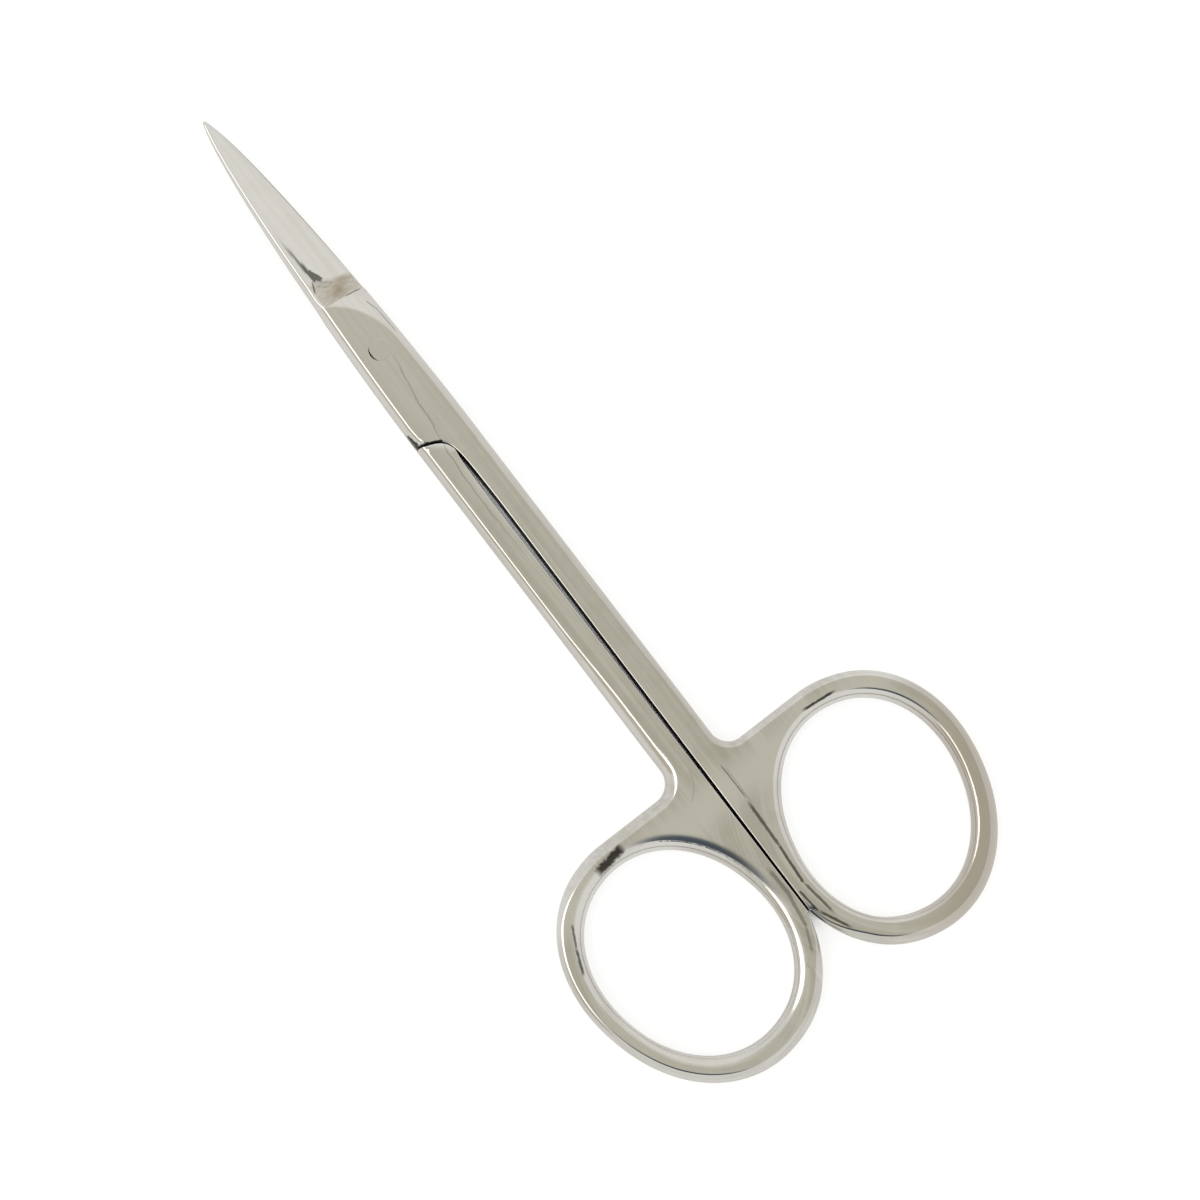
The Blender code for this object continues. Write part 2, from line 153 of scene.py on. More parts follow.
# %% The blade's flank
FLANK_HANDLES = ((TIP_X + 5.8, 2.1), (TIP_X + 30.0, 3.32))
CURVE_POINTS = 400
nose = arc((TIP_X + TIP_RADIUS, 0.0), TIP_RADIUS, np.pi, np.pi / 2, 9)
flank = join(
    nose,
    bezier((TIP_X + TIP_RADIUS, TIP_RADIUS), *FLANK_HANDLES, (FLANK_END_X, BOX_HALF_WIDTH), CURVE_POINTS),
)


def flank_y(x):
    """The flank's distance from the long axis at a station x."""
    return np.interp(x, flank[:, 0], flank[:, 1])


print("blade root is", round(2 * float(flank_y(BLADE_ROOT_X)), 2), "mm wide")

# %% The rings' place
RIM_POINTS = 2880
rim_radii = (OPENING_LONG + RING_END_BAND, OPENING_SHORT + RING_BAND)
rim_at_origin = oval((0.0, 0.0), *rim_radii, RIM_POINTS)
ring_centre = np.array(
    [TIP_X + LENGTH - rim_at_origin[:, 0].max(), RING_HALF_GAP - rim_at_origin[:, 1].min()]
)
ring_rim = oval(ring_centre, *rim_radii, RIM_POINTS)
opening = oval(ring_centre, OPENING_LONG, OPENING_SHORT, RIM_POINTS)
slot_end_x = ring_rim[ring_rim[:, 1].argmin(), 0] + RING_BAND
print("ring centre", ring_centre.round(2), "slot ends at", round(float(slot_end_x), 2))

# %% [markdown]
# ## The outline of a half
#
# The outline runs anticlockwise from the tip: along the spine and the box's side to the shoulder, over the
# shoulder's S into the slot, along the slot and round the ring, and back by the fillet, the shank and the
# cutting edge. The near face has its own front line, where the other half's lap plate ends. Both faces share
# the points between the place where that line meets the slot and the place where it meets the box's side.

# %% Stretches of the outline
shoulder_front = (SHOULDER_X, BOX_HALF_WIDTH - 3 * CORNER_RELIEF)
shoulder = bezier(
    shoulder_front,
    (SHOULDER_X + 0.45 * SHOULDER_LENGTH, -1.5 * SLOT_HALF_WIDTH),
    (SHOULDER_X + 0.65 * SHOULDER_LENGTH, -0.5 * SLOT_HALF_WIDTH),
    (SLOT_START_X, -SLOT_HALF_WIDTH),
    CURVE_POINTS,
)
relief = bezier(
    (SHOULDER_X - SHOULDER_LENGTH, BOX_HALF_WIDTH),
    (SHOULDER_X - SHOULDER_LENGTH / 3, BOX_HALF_WIDTH - CORNER_RELIEF),
    (SHOULDER_X - SHOULDER_LENGTH / 9, BOX_HALF_WIDTH - CORNER_RELIEF),
    shoulder_front,
)
spine = flipped(join(flank[flank[:, 0] < relief[0, 0]], relief))
slot_line = np.array([[SLOT_START_X, SLOT_HALF_WIDTH], [slot_end_x, RING_HALF_GAP]])
slot_side = join(flipped(shoulder), slot_line)

left = ring_rim[ring_rim[:, 0].argmin()]
around = ring_rim[(ring_rim[:, 0] > slot_end_x) | (ring_rim[:, 1] > left[1])]
first = np.flatnonzero(around[:, 0] > slot_end_x)[around[around[:, 0] > slot_end_x, 1].argmin()]
around = np.roll(around, -first, axis=0)
fillet = arc((left[0] - HEEL_FILLET, SHANK_HALF_WIDTH + HEEL_FILLET), HEEL_FILLET, 0.0, -np.pi / 2)
setback = EDGE_SETBACK * np.sin(np.pi * np.clip((flank[:, 0] - TIP_X) / (BLADE_ROOT_X - TIP_X), 0, 1))
cutting_side = (flank - np.stack([0 * setback, setback], 1))[::-1]
print("spine, slot side, ring:", len(spine), len(slot_side), len(around))

# %% Where the near face begins
MEETING_BELOW = 0.8
MEETING_LEVELS = 4001
corner_x = SHOULDER_X + SHOULDER_GAP
box_corner = np.array([corner_x, float(flank_y(corner_x))])
front_line = join(
    np.array([box_corner, [corner_x, shoulder_front[1]]]), shoulder + np.array([SHOULDER_GAP, 0.0])
)
falling = slice(0, int(front_line[:, 1].argmin()))
rising = flipped(shoulder)[: int(shoulder[:, 1].argmin())]
levels = np.linspace(MEETING_BELOW, 0.0, MEETING_LEVELS)
front_x = np.interp(-levels, -front_line[falling, 1], front_line[falling, 0])
slot_x = np.interp(levels, rising[:, 1], rising[:, 0])
crossing = int(np.abs(front_x - slot_x).argmin())
meeting = np.array([slot_x[crossing], levels[crossing]])
print("the near face's front line meets the slot at", meeting.round(3))

# %% The three stretches that bound both faces
FRONT_STEP = 0.1
BLADE_STEP = 0.2
RING_STEP = 0.25
BOX_STEP = 0.4
SHANK_STEP = 0.5
behind = slot_side[:, 0] > meeting[0]
behind[: int(slot_side[:, 1].argmin()) + 1] = False
shank_end = np.array([[fillet[-1, 0], SHANK_HALF_WIDTH], [FLANK_END_X, BOX_HALF_WIDTH]])
box_side = cutting_side[cutting_side[:, 0] > corner_x]
shared = join(
    even(np.r_[[meeting], slot_side[behind]], BLADE_STEP),
    np.r_[[slot_side[-1]], even(around, RING_STEP)],
    even(np.array([around[-1], fillet[0]]), RING_STEP),
    fillet,
    even(shank_end, SHANK_STEP),
    even(np.r_[box_side, [box_corner]], BOX_STEP),
)
blade_side = cutting_side[cutting_side[:, 0] < corner_x]
to_meeting = even(np.r_[slot_side[: np.flatnonzero(behind)[0]], [meeting]], FRONT_STEP)
plate_only = join(
    even(np.r_[[box_corner], blade_side[: -len(nose)]], BLADE_STEP),
    np.r_[[blade_side[-len(nose) - 1]], blade_side[-len(nose) :]],
    flipped(nose),
    even(np.r_[spine[len(nose) - 1 :]], BLADE_STEP),
    to_meeting,
)
near_only = even(np.r_[front_line[front_line[:, 1] > meeting[1]], [meeting]], FRONT_STEP)
far_outline = np.r_[shared[:-1], plate_only[:-1]]
near_outline = np.r_[shared[:-1], near_only[:-1]]
lap_outline = np.r_[plate_only[:-1], near_only[::-1][:-1]]
print("outline points:", len(far_outline), len(near_outline), len(lap_outline))

# %% [markdown]
# ## Heights
#
# Each face is a height over the plan. Seven simple surfaces bound the steel: the flat face, the rounded rim,
# the crisp edge of the slot, the ring's inner rim, the plane and wheel hollow of the ground blade, the
# polished bevel at the box's corner, and the cutting edge's bevel. The lowest of them is the real surface,
# as when a grinder takes one cut after another. A soft minimum rounds the ridge between two cuts, as
# polishing does.

# %% A path as a guide for a rim
DISTANCES_AT_ONCE = 4000000


class Guide:
    """A path with an inward normal, a rim width and the rim's tilt at its ridge at each of its points."""

    def __init__(self, path, closed, width, ridge_tilt):
        self.path = path
        self.closed = closed
        before = np.roll(path, 1, 0) if closed else np.r_[path[:1], path[:-1]]
        after = np.roll(path, -1, 0) if closed else np.r_[path[1:], path[-1:]]
        along = after - before
        self.normal = np.stack([-along[:, 1], along[:, 0]], 1) / np.linalg.norm(along, axis=1)[:, None]
        self.width = np.broadcast_to(width, len(path))
        self.ridge_tilt = np.broadcast_to(ridge_tilt, len(path))

    def nearest(self, points):
        """The segment nearest to each point, the share along it, and the gap from it to the point. The
        nearest point of the path is found first; the gap is the shorter of those to its two segments."""
        count = len(self.path)
        middle = self.path.mean(0)
        path = self.path - middle
        number = []
        for chunk in np.array_split(points - middle, len(points) * count // DISTANCES_AT_ONCE + 1):
            squared = (path**2).sum(1) - 2 * chunk @ path.T
            number.append(squared.argmin(1))
        number = np.concatenate(number)
        candidates = []
        for segment in (number - 1, number):
            segment = segment % count if self.closed else np.clip(segment, 0, count - 2)
            side = self.path[(segment + 1) % count] - self.path[segment]
            gap = points - self.path[segment]
            share = np.clip((gap * side).sum(1) / (side**2).sum(1), 0.0, 1.0)
            candidates.append((segment, share, gap - share[:, None] * side))
        first, second = candidates
        closer = (first[2] ** 2).sum(1) < (second[2] ** 2).sum(1)
        segment = np.where(closer, first[0], second[0])
        share = np.where(closer, first[1], second[1])
        return segment, share, np.where(closer[:, None], first[2], second[2])

    def depth(self, points):
        """How far each point lies to the left of the path, on the steel's side; less than 0 is outside."""
        segment, share, gap = self.nearest(points)
        side = (gap * self.at(self.normal, segment, share)).sum(1)
        return np.copysign(np.linalg.norm(gap, axis=1), side)

    def at(self, values, segment, share):
        """Values given at the path's points, blended along the nearest segments."""
        share = share if values.ndim == 1 else share[:, None]
        return values[segment] * (1 - share) + values[(segment + 1) % len(values)] * share

    def inward(self, segment, share):
        """The inward normals at places on the path, each one long."""
        normal = self.at(self.normal, segment, share)
        return normal / np.linalg.norm(normal, axis=1)[:, None]


SIDE_TILT = math.radians(64.0)


def rim_height(guide, points, top, top_slope):
    """The rim's height and its slope towards +X and +Y. The rim's tilt falls evenly from the side's to the
    ridge's, so its height is the integral of a tangent, the logarithm of a cosine; past the ridge it goes
    on straight."""
    segment, share, gap = guide.nearest(points)
    distance = np.linalg.norm(gap, axis=1)
    width = guide.at(guide.width, segment, share)
    ridge = guide.at(guide.ridge_tilt, segment, share)
    u = distance / width
    tilt = SIDE_TILT + (ridge - SIDE_TILT) * np.clip(u, 0.0, 1.0)
    drop = width * (np.log(np.cos(ridge)) - np.log(np.cos(tilt))) / (SIDE_TILT - ridge)
    drop -= np.tan(ridge) * np.maximum(distance - width, 0.0)
    return top - drop, np.tan(tilt)[:, None] * guide.inward(segment, share) + top_slope


# %% The cuts on the blade
def grind_run(depth):
    """How far the wheel's round hollow reaches along the blade while it rises by this depth."""
    return math.sqrt(2 * WHEEL_RADIUS * depth - depth**2)


grind_x = BLADE_ROOT_X - grind_run(HALF_THICKNESS - EDGE_THICKNESS)
grind_spine_x = ROOT_LINE_X - grind_run(HALF_THICKNESS - SPINE_THICKNESS)
grind_half_width = float(flank_y(grind_x))
ground_width = 2 * grind_half_width - RIM_WIDTH * SPINE_THICKNESS / HALF_THICKNESS
fall = (SPINE_THICKNESS - EDGE_THICKNESS) / ground_width
ground_middle = EDGE_THICKNESS + fall * grind_half_width
pitch = (ground_middle - TIP_THICKNESS) / (grind_x - TIP_X)
wheel_yaw = math.atan2(grind_spine_x - grind_x, ground_width)
wheel_x = grind_x + grind_half_width * math.tan(wheel_yaw)
WHEEL_SHARE = 0.98
GROUND_PAST_ROOT = 2.0
BEVEL_WIDTH = 2.6
BEVEL_SLOPE = 0.55 / BEVEL_WIDTH
BEVEL_REACH = 8.2
BEVEL_HANDLES = np.array([[-0.06, -0.54], [0.12, 0.2], [0.35, 0.62], [1.0, 0.84]])
BEVEL_RUN_ON = 9.0
BEVEL_STEP = 0.05
SPINE_STATIONS = np.array([TIP_X, TIP_X + 5.4, TIP_X + 10.4, TIP_X + 15.4, grind_x, ROOT_LINE_X, 0.0])
SPINE_HEIGHTS = np.array([TIP_THICKNESS, 0.74, 0.98, 1.16, SPINE_THICKNESS, HALF_THICKNESS, HALF_THICKNESS])


def top_height(x):
    """Full thickness behind the blade; over the blade, the height of the ground face at the spine's rim."""
    height = np.interp(x, SPINE_STATIONS, SPINE_HEIGHTS)
    span = np.clip(np.searchsorted(SPINE_STATIONS, x) - 1, 0, len(SPINE_STATIONS) - 2)
    slope = (np.diff(SPINE_HEIGHTS) / np.diff(SPINE_STATIONS))[span]
    return height, slope


def ground_height(points):
    """A plane that falls to the cutting edge and to the tip, and the circle of the grinding wheel where it
    ends: R - sqrt(R^2 - s^2), with s measured across the wheel's own line."""
    along = points[:, 0] - wheel_x
    s = along * math.cos(wheel_yaw) + points[:, 1] * math.sin(wheel_yaw)
    s = np.clip(s, 0.0, WHEEL_SHARE * WHEEL_RADIUS)
    height = ground_middle + pitch * along - fall * points[:, 1]
    height += WHEEL_RADIUS - np.sqrt(WHEEL_RADIUS**2 - s**2)
    height = np.where(points[:, 0] < BLADE_ROOT_X + GROUND_PAST_ROOT, height, 2 * HALF_THICKNESS)
    rise = s / np.sqrt(WHEEL_RADIUS**2 - s**2)
    slope = np.stack([pitch + rise * math.cos(wheel_yaw), rise * math.sin(wheel_yaw) - fall], 1)
    return height, slope


def bevel_guide():
    """The crescent's upper line, from the spine's side of the blade's root round to the box's side. It runs
    straight on over the blade, where the ground face lies lower, and past the box's side."""
    corners = BEVEL_HANDLES * np.array([BEVEL_REACH, BOX_HALF_WIDTH]) + np.array([BLADE_ROOT_X, 0.0])
    line = bezier(*corners, 160)
    before = np.array([TIP_X - 1.0, line[0, 1]])
    after = line[-1] + BEVEL_RUN_ON * (line[-1] - line[-2]) / np.linalg.norm(line[-1] - line[-2])
    return Guide(even(np.r_[[before], line, [after]], BEVEL_STEP), False, 1.0, 0.0)


bevel_line = bevel_guide()


def bevel_height(points):
    """A shallow plane, bent along its line, that falls with the distance from the line."""
    segment, share, gap = bevel_line.nearest(points)
    distance = bevel_line.depth(points)
    distance = np.where(points[:, 0] < SHOULDER_X, np.minimum(distance, BEVEL_WIDTH), -BOX_HALF_WIDTH)
    return HALF_THICKNESS - BEVEL_SLOPE * distance, -BEVEL_SLOPE * bevel_line.inward(segment, share)


print("ground face:", round(fall, 3), "down per mm to the edge,", round(pitch, 3), "to the tip")

# %% The guides of both faces
RIDGE_TILT = math.radians(30.0)
RING_RIDGE_TILT = math.radians(25.0)
HEEL_SOFTENING = math.radians(6.0)
RIM_SWING = 0.45
RIM_GROWTH = 7.0
ABOVE_HEEL_Y = 8.0
BEFORE_HEEL = (34.0, 46.0)
FAR_WIDENING = -0.15
NEAR_WIDENING = 0.45


def towards_tip(path):
    """1 on the side of the ring that faces the blades, -1 on the far side."""
    off = path - ring_centre
    return -off[:, 0] / np.linalg.norm(off, axis=1)


def soft_guide(path, widening):
    """The rounded rim's guide. It is narrow where it leaves the slot, thins with the blade, and is widened by
    a share of its width on the shank before the heel. Round the ring it is widest at the end."""
    share = top_height(path[:, 0])[0] / HALF_THICKNESS
    from_slot = np.hypot(path[:, 0] - slot_end_x, path[:, 1] - RING_HALF_GAP)
    growing = np.where(path[:, 1] > ABOVE_HEEL_Y, 1.0, smoothstep(0.0, RIM_GROWTH, from_slot))
    growing = np.where(path[:, 0] < left[0] - 6.0, 1.0, growing)
    width = EDGE_BREAK + (RIM_WIDTH - EDGE_BREAK) * growing
    ring = smoothstep(left[0] - 0.5, left[0] + 4.0, path[:, 0])
    before_heel = smoothstep(*BEFORE_HEEL, path[:, 0]) * (1.0 - ring)
    width = width * share * (1.0 + widening * before_heel - RIM_SWING * ring * growing * towards_tip(path))
    tilt = RIDGE_TILT + (RING_RIDGE_TILT - RIDGE_TILT) * ring - HEEL_SOFTENING * before_heel
    return Guide(path, False, width, tilt)


def straight_on(path, reach=1.5):
    """The path with its last stretch carried straight on, so that a rim doesn't bend round its end."""
    along = path[-1] - path[-3]
    ahead = path[-1] + reach * along / np.linalg.norm(along)
    return join(path, even(np.array([path[-1], ahead]), FRONT_STEP))


slot_points = np.flatnonzero(np.abs(shared[:, 0] - slot_end_x) < 1e-6)[0]
crisp_end = len(plate_only) - len(to_meeting)
far_soft = soft_guide(straight_on(join(shared[slot_points:], plate_only[: crisp_end + 1])), FAR_WIDENING)
near_soft = soft_guide(straight_on(shared[slot_points:]), NEAR_WIDENING)
far_crisp = Guide(join(plate_only[crisp_end:], shared[: slot_points + 1]), False, EDGE_BREAK, RIDGE_TILT)
near_crisp = Guide(join(near_only, shared[: slot_points + 1]), False, EDGE_BREAK, RIDGE_TILT)
inner_path = even(np.r_[opening, opening[:1]], RING_STEP)[:-1][::-1]
inner_rim = Guide(inner_path, True, RIM_WIDTH * (1.0 + RIM_SWING * towards_tip(inner_path)), RING_RIDGE_TILT)
on_edge = (plate_only[:, 0] < BLADE_ROOT_X) & (np.arange(len(plate_only)) < crisp_end // 2)
cutting_edge = Guide(plate_only[on_edge], False, 1.0, 0.0)
print("soft rim:", len(far_soft.path), "points, crisp edge:", len(far_crisp.path))


# %% The domed rings
DOME_REACH = 2.3
DOME_SLOPE = 0.27
INNER_DOME = {True: 0.35, False: 1.0}
OUTER_DOME = 0.25
HEEL_DOME = {True: 0.8, False: 2.3}
HEEL_SPOT = (left[0] - 2.8, SHANK_HALF_WIDTH + 1.0, 1.9, 1.9)


def spot(x, y, place):
    """exp(-r^2), 1 in the middle of an oval spot, from its middle and its two radii."""
    middle_x, middle_y, wide, high = place
    return np.exp(-(((x - middle_x) / wide) ** 2) - ((y - middle_y) / high) ** 2)


def dome(guide, points, strength):
    """How far the polishing wheel has rolled a ring's flat face down towards a rim, and the slope that this
    gives: the square of the distance still to go to the dome's reach."""
    segment, share, gap = guide.nearest(points)
    run = DOME_REACH - guide.at(guide.width, segment, share)
    left_over = np.clip(DOME_REACH - np.linalg.norm(gap, axis=1), 0.0, run)
    steepness = strength * DOME_SLOPE / run
    slope = steepness * left_over * (left_over < run)
    return steepness * left_over**2 / 2, slope[:, None] * guide.inward(segment, share)


# %% The height of a face
def soft_minimum(layers, softness):
    """-k log(sum of exp(-z/k)): the lowest layer, with k the rounding where two of them cross. The slopes
    are blended by the same shares."""
    heights = np.stack([height for height, slope in layers])
    slopes = np.stack([slope for height, slope in layers])
    lowest = heights.min(0)
    shares = np.exp(-(heights - lowest) / softness)
    total = shares.sum(0)
    return lowest - softness * np.log(total), (slopes * (shares / total)[..., None]).sum(0)


def face_height(points, far, softness=0.03):
    """The far face's height over the lap plane, or how far the near face lies below it, with its slopes."""
    if far:
        top, top_slope = top_height(points[:, 0])
        soft, crisp = far_soft, far_crisp
    else:
        top, top_slope = np.full(len(points), HALF_THICKNESS), np.zeros(len(points))
        soft, crisp = near_soft, near_crisp
    top_slope = np.stack([top_slope, 0 * top_slope], 1)
    x, y = points.T
    on_ring = smoothstep(left[0] - 1.0, left[0] + 5.0, x)
    outer_strength = OUTER_DOME * on_ring + HEEL_DOME[far] * spot(x, y, HEEL_SPOT)
    for guide, strength in ((inner_rim, INNER_DOME[far]), (soft, outer_strength)):
        fall_away, slope = dome(guide, points, strength)
        top = top - fall_away
        top_slope = top_slope + slope
    layers = [(top, top_slope)]
    layers += [rim_height(guide, points, top, top_slope) for guide in (soft, crisp, inner_rim)]
    if far:
        layers += [ground_height(points), bevel_height(points)]
        segment, share, gap = cutting_edge.nearest(points)
        inward = cutting_edge.at(cutting_edge.normal, segment, share)
        layers.append((LAP_Z + EDGE_LAND + np.linalg.norm(gap, axis=1), inward))
    return soft_minimum(layers, softness)


# %% [markdown]
# ## The mesh of a half
#
# The points of a face lie in rows that follow each rim, close together at its ridge, and on a fine
# triangular grid between. A constrained Delaunay triangulation joins them. The walls below the rims share
# the outline's points, so the half closes without a gap. Each corner's normal is the height function's own,
# so a mirror-like polish shows no facets.

# %% Points of a face
# The rows are shares of the rim's width. A grid is given as its two corners, its step, and how far from an
# edge it stays: over the blade, over the joint's plate, and over the shank and the ring.
ROWS = np.array(
    [0.08, 0.16, 0.26, 0.38, 0.5, 0.62, 0.74, 0.84, 0.91, 0.96, 1.0, 1.04, 1.09, 1.16, 1.3, 1.55, 1.9]
)
ROW_CLEAR = 0.97
GRIDS = (
    ((TIP_X, -4.0), (-11.0, 4.0), 0.25, 0.5),
    ((-11.0, -4.0), (2.6, 4.0), 0.1, 0.2),
    ((2.6, -4.0), (TIP_X + LENGTH, 26.0), 0.45, 1.3 * RIM_WIDTH),
)


def depth(points, outlines):
    """How far inside the outlines each point lies. Every outline has the steel on its left."""
    return np.min([Guide(path, True, 1.0, 0.0).depth(points) for path in outlines], axis=0)


def grid(low, high, step):
    """A grid of even triangles over a box: every second row is shifted by half a step."""
    rows = np.arange(low[1], high[1], step * math.sqrt(0.75))
    x, y = np.meshgrid(np.arange(low[0], high[0], step), rows)
    x = x + step / 2 * (np.arange(len(x)) % 2)[:, None]
    return np.stack([x.ravel(), y.ravel()], 1)


def face_points(outlines, guides):
    """The rows beside each guide, and the grids, without what lies outside or too near an edge."""
    places = []
    reaches = []
    for guide in guides:
        reach = guide.width[:, None] * ROWS
        places.append((guide.path[:, None, :] + reach[..., None] * guide.normal[:, None, :]).reshape(-1, 2))
        reaches.append(ROW_CLEAR * reach.ravel())
    for low, high, step, clear in GRIDS:
        places.append(grid(low, high, step))
        reaches.append(np.full(len(places[-1]), clear))
    places = np.concatenate(places)
    return places[depth(places, outlines) > np.concatenate(reaches)]


SAME_PLACE = 1e-7


def triangles_between(outlines, points):
    """Delaunay triangles inside the outlines, which stay as edges. The outlines' points come first."""
    places = np.concatenate(outlines + [points])
    borders = []
    first = 0
    for path in outlines:
        number = first + np.arange(len(path))
        borders.append(np.stack([number, np.roll(number, -1)], 1))
        first += len(path)
    borders = np.concatenate(borders).tolist()
    result = delaunay_2d_cdt([Vector(place) for place in places], borders, [], 1, SAME_PLACE)
    faces, origins = result[2:4]
    origin = np.array([numbers[0] for numbers in origins])
    triangles = origin[np.array(faces)]
    middles = places[triangles].mean(1)
    return places, triangles[depth(middles, outlines) > 0]


# %% [markdown]
# The pieces of a half's surface are gathered as triangles with a normal at each corner, and joined into one
# mesh where their points fall in the same place.

# %% Sheets of the surface
def upright(places, height, slope, side):
    """Points and outward normals of a face at a height over the plan; side is +1 for the far face."""
    normal = np.column_stack([-slope[:, 0], -slope[:, 1], np.ones(len(places))])
    normal /= np.linalg.norm(normal, axis=1)[:, None]
    return np.column_stack([places, side * height]), normal * np.array([1.0, 1.0, side])


def facing(places, triangles, side):
    """The triangles with their corners anticlockwise, as seen from above, or from below if side is -1."""
    corners = np.dstack([places[triangles], np.ones((len(triangles), 3, 1))])
    return np.where((side * np.linalg.det(corners) < 0)[:, None], triangles[:, ::-1], triangles)


def cap(outlines, guides, far):
    """A face of the half, with its rims."""
    side = 1.0 if far else -1.0
    places, triangles = triangles_between(outlines, face_points(outlines, guides))
    points, normals = upright(places, *face_height(places, far), side)
    triangles = facing(places, triangles, side)
    return points, triangles, normals[triangles]


def strip(count):
    """Triangles between two closed rows of points; the second row's numbers follow the first's."""
    here = np.arange(count)
    after = (here + 1) % count
    return np.r_[
        np.stack([here, here + count, after], 1), np.stack([after, here + count, after + count], 1)
    ]


def wall(path, high, low):
    """An upright wall between two heights along a closed path, with the steel on the path's left."""
    count = len(path)
    rows = np.array([np.broadcast_to(high, count), np.broadcast_to(low, count)])
    points = np.column_stack([np.tile(path, (2, 1)), rows.ravel()])
    normals = np.column_stack([-Guide(path, True, 1.0, 0.0).normal, np.zeros(count)])
    return points, strip(count), np.tile(normals, (2, 1))[strip(count)]


def circle(radius, count=96):
    """A round hole's outline, clockwise, so that the steel is on its left."""
    angle = -2 * np.pi * np.arange(count) / count
    return radius * np.stack([np.cos(angle), np.sin(angle)], 1)


LAP_STEP = 0.8
LAP_CLEAR = 0.3
HOLLOW_MARGIN = 0.4


def lap_face(outlines):
    """The inner face, flat but for the blade's hollow: a shallow trough, 1 - y^2/c^2, that runs out halfway
    to the tip."""
    places = grid((TIP_X, -4.0), (SHOULDER_X + 2.0, 4.0), LAP_STEP)
    places = places[depth(places, outlines) > LAP_CLEAR]
    places, triangles = triangles_between(outlines, places)
    chord = grind_half_width - HOLLOW_MARGIN
    middle = (TIP_X + grind_x) / 2
    rise = 2 * (places[:, 0] - middle) / (grind_x - TIP_X) - (places[:, 1] / chord) ** 2
    hollow = HOLLOW_DEPTH * np.clip(rise, 0.0, 1.0) * (places[:, 0] < grind_x)
    points = np.column_stack([places, LAP_Z + hollow])
    normals = np.tile([0.0, 0.0, -1.0], (len(places), 1))
    triangles = facing(places, triangles, -1.0)
    return points, triangles, normals[triangles]


# %% Places of the marks
# A step is given as where it begins and ends; a spot as its middle and its two radii; a line across the
# half as stations and the values there.
ROOT_LINE = ([-2.6, 2.6], [ROOT_LINE_X, BLADE_ROOT_X])
HOLLOW_LINE = ([-1.15, 2.47], [-9.75, -8.5])
HOLLOW_BEGINS = (-0.3, 0.5)
HOLLOW_LOWER_SIDE = (-1.98, -1.78)
HOLLOW_ENDS = (0.1, -0.02)
BROWN_SPOTS = (((-7.7, 0.3, 0.8, 1.0), 1.0), ((-8.6, 1.7, 0.5, 0.8), 0.7))
# The MARK_ values place a painted dark reflection: a dark patch along the spine's side of the blade, before
# the hollow.
MARK_STATIONS = np.array([-15.0, -13.4, -12.4, -11.5, -10.8, -10.2, -9.5])
MARK_HIGH = np.array([-1.26, -1.10, -1.00, -0.88, -0.61, -0.30, -0.09])
MARK_LOW = np.array([-1.40, -1.37, -1.30, -1.24, -1.21, -1.18, -1.15])
MARK_LOWER_EDGE = (-0.05, 0.05)
MARK_UPPER_EDGE = (0.06, -0.06)
MARK_BEGINS = (-16.8, -12.0)
MARK_ENDS = (0.1, -0.15)
MARK_END_X = -9.4
MARK_SLANT = 0.29
MARK_WAVES = ((0.12, 9.0), (0.05, 31.0))
MARK_STRENGTH = 0.93


# %% Marks that follow the surface
def polish_way(points):
    """Which way the polishing ran: on the ring it follows the oval, with the turn about its centre and the
    distance from it for coordinates."""
    sign = np.where(points[:, 1] < -SHANK_HALF_WIDTH - 0.2, -1.0, 1.0)
    off = points[:, :2] * np.column_stack([np.ones(len(points)), sign]) - ring_centre
    on_ring = smoothstep(left[0] + 1.0, left[0] + 6.0, points[:, 0])
    radius = np.hypot(off[:, 0], off[:, 1] * OPENING_LONG / OPENING_SHORT)
    turn = np.arctan2(off[:, 1], off[:, 0]) * (OPENING_LONG + RING_BAND / 2)
    return np.where(on_ring[:, None] > 0.5, np.column_stack([turn, radius, points[:, 2]]), points)


def mark(mesh, points, side_of_turn):
    """Attributes for the finish: which way the polishing ran, where the wheel's hollow and the brown marks
    lie, and where a painted dark reflection lies beside them on the spine's side."""
    far = points[:, 2] * side_of_turn > 0
    x, y = points[:, 0], points[:, 1] * side_of_turn
    hollow = far * smoothstep(*HOLLOW_BEGINS, x - np.interp(y, *HOLLOW_LINE))
    hollow = hollow * smoothstep(*HOLLOW_ENDS, x - np.interp(y, *ROOT_LINE))
    hollow = hollow * smoothstep(*HOLLOW_LOWER_SIDE, y)
    brown = hollow * sum(share * spot(x, y, place) for place, share in BROWN_SPOTS)
    across = smoothstep(*MARK_LOWER_EDGE, y - np.interp(x, MARK_STATIONS, MARK_LOW))
    across = across * smoothstep(*MARK_UPPER_EDGE, y - np.interp(x, MARK_STATIONS, MARK_HIGH))
    end = MARK_END_X + MARK_SLANT * y + sum(high * np.sin(turns * y) for high, turns in MARK_WAVES)
    dark = MARK_STRENGTH * far * across * smoothstep(*MARK_BEGINS, x) * smoothstep(*MARK_ENDS, x - end)
    for name, values in (("wheel_hollow", hollow), ("brown_mark", np.clip(brown, 0, 1)), ("painted_dark_reflection", dark)):
        mesh.attributes.new(name, "FLOAT", "POINT").data.foreach_set("value", values.astype(np.float32))
    way = (polish_way(points) / 1000).astype(np.float32).ravel()
    mesh.attributes.new("polish_way", "FLOAT_VECTOR", "POINT").data.foreach_set("vector", way)


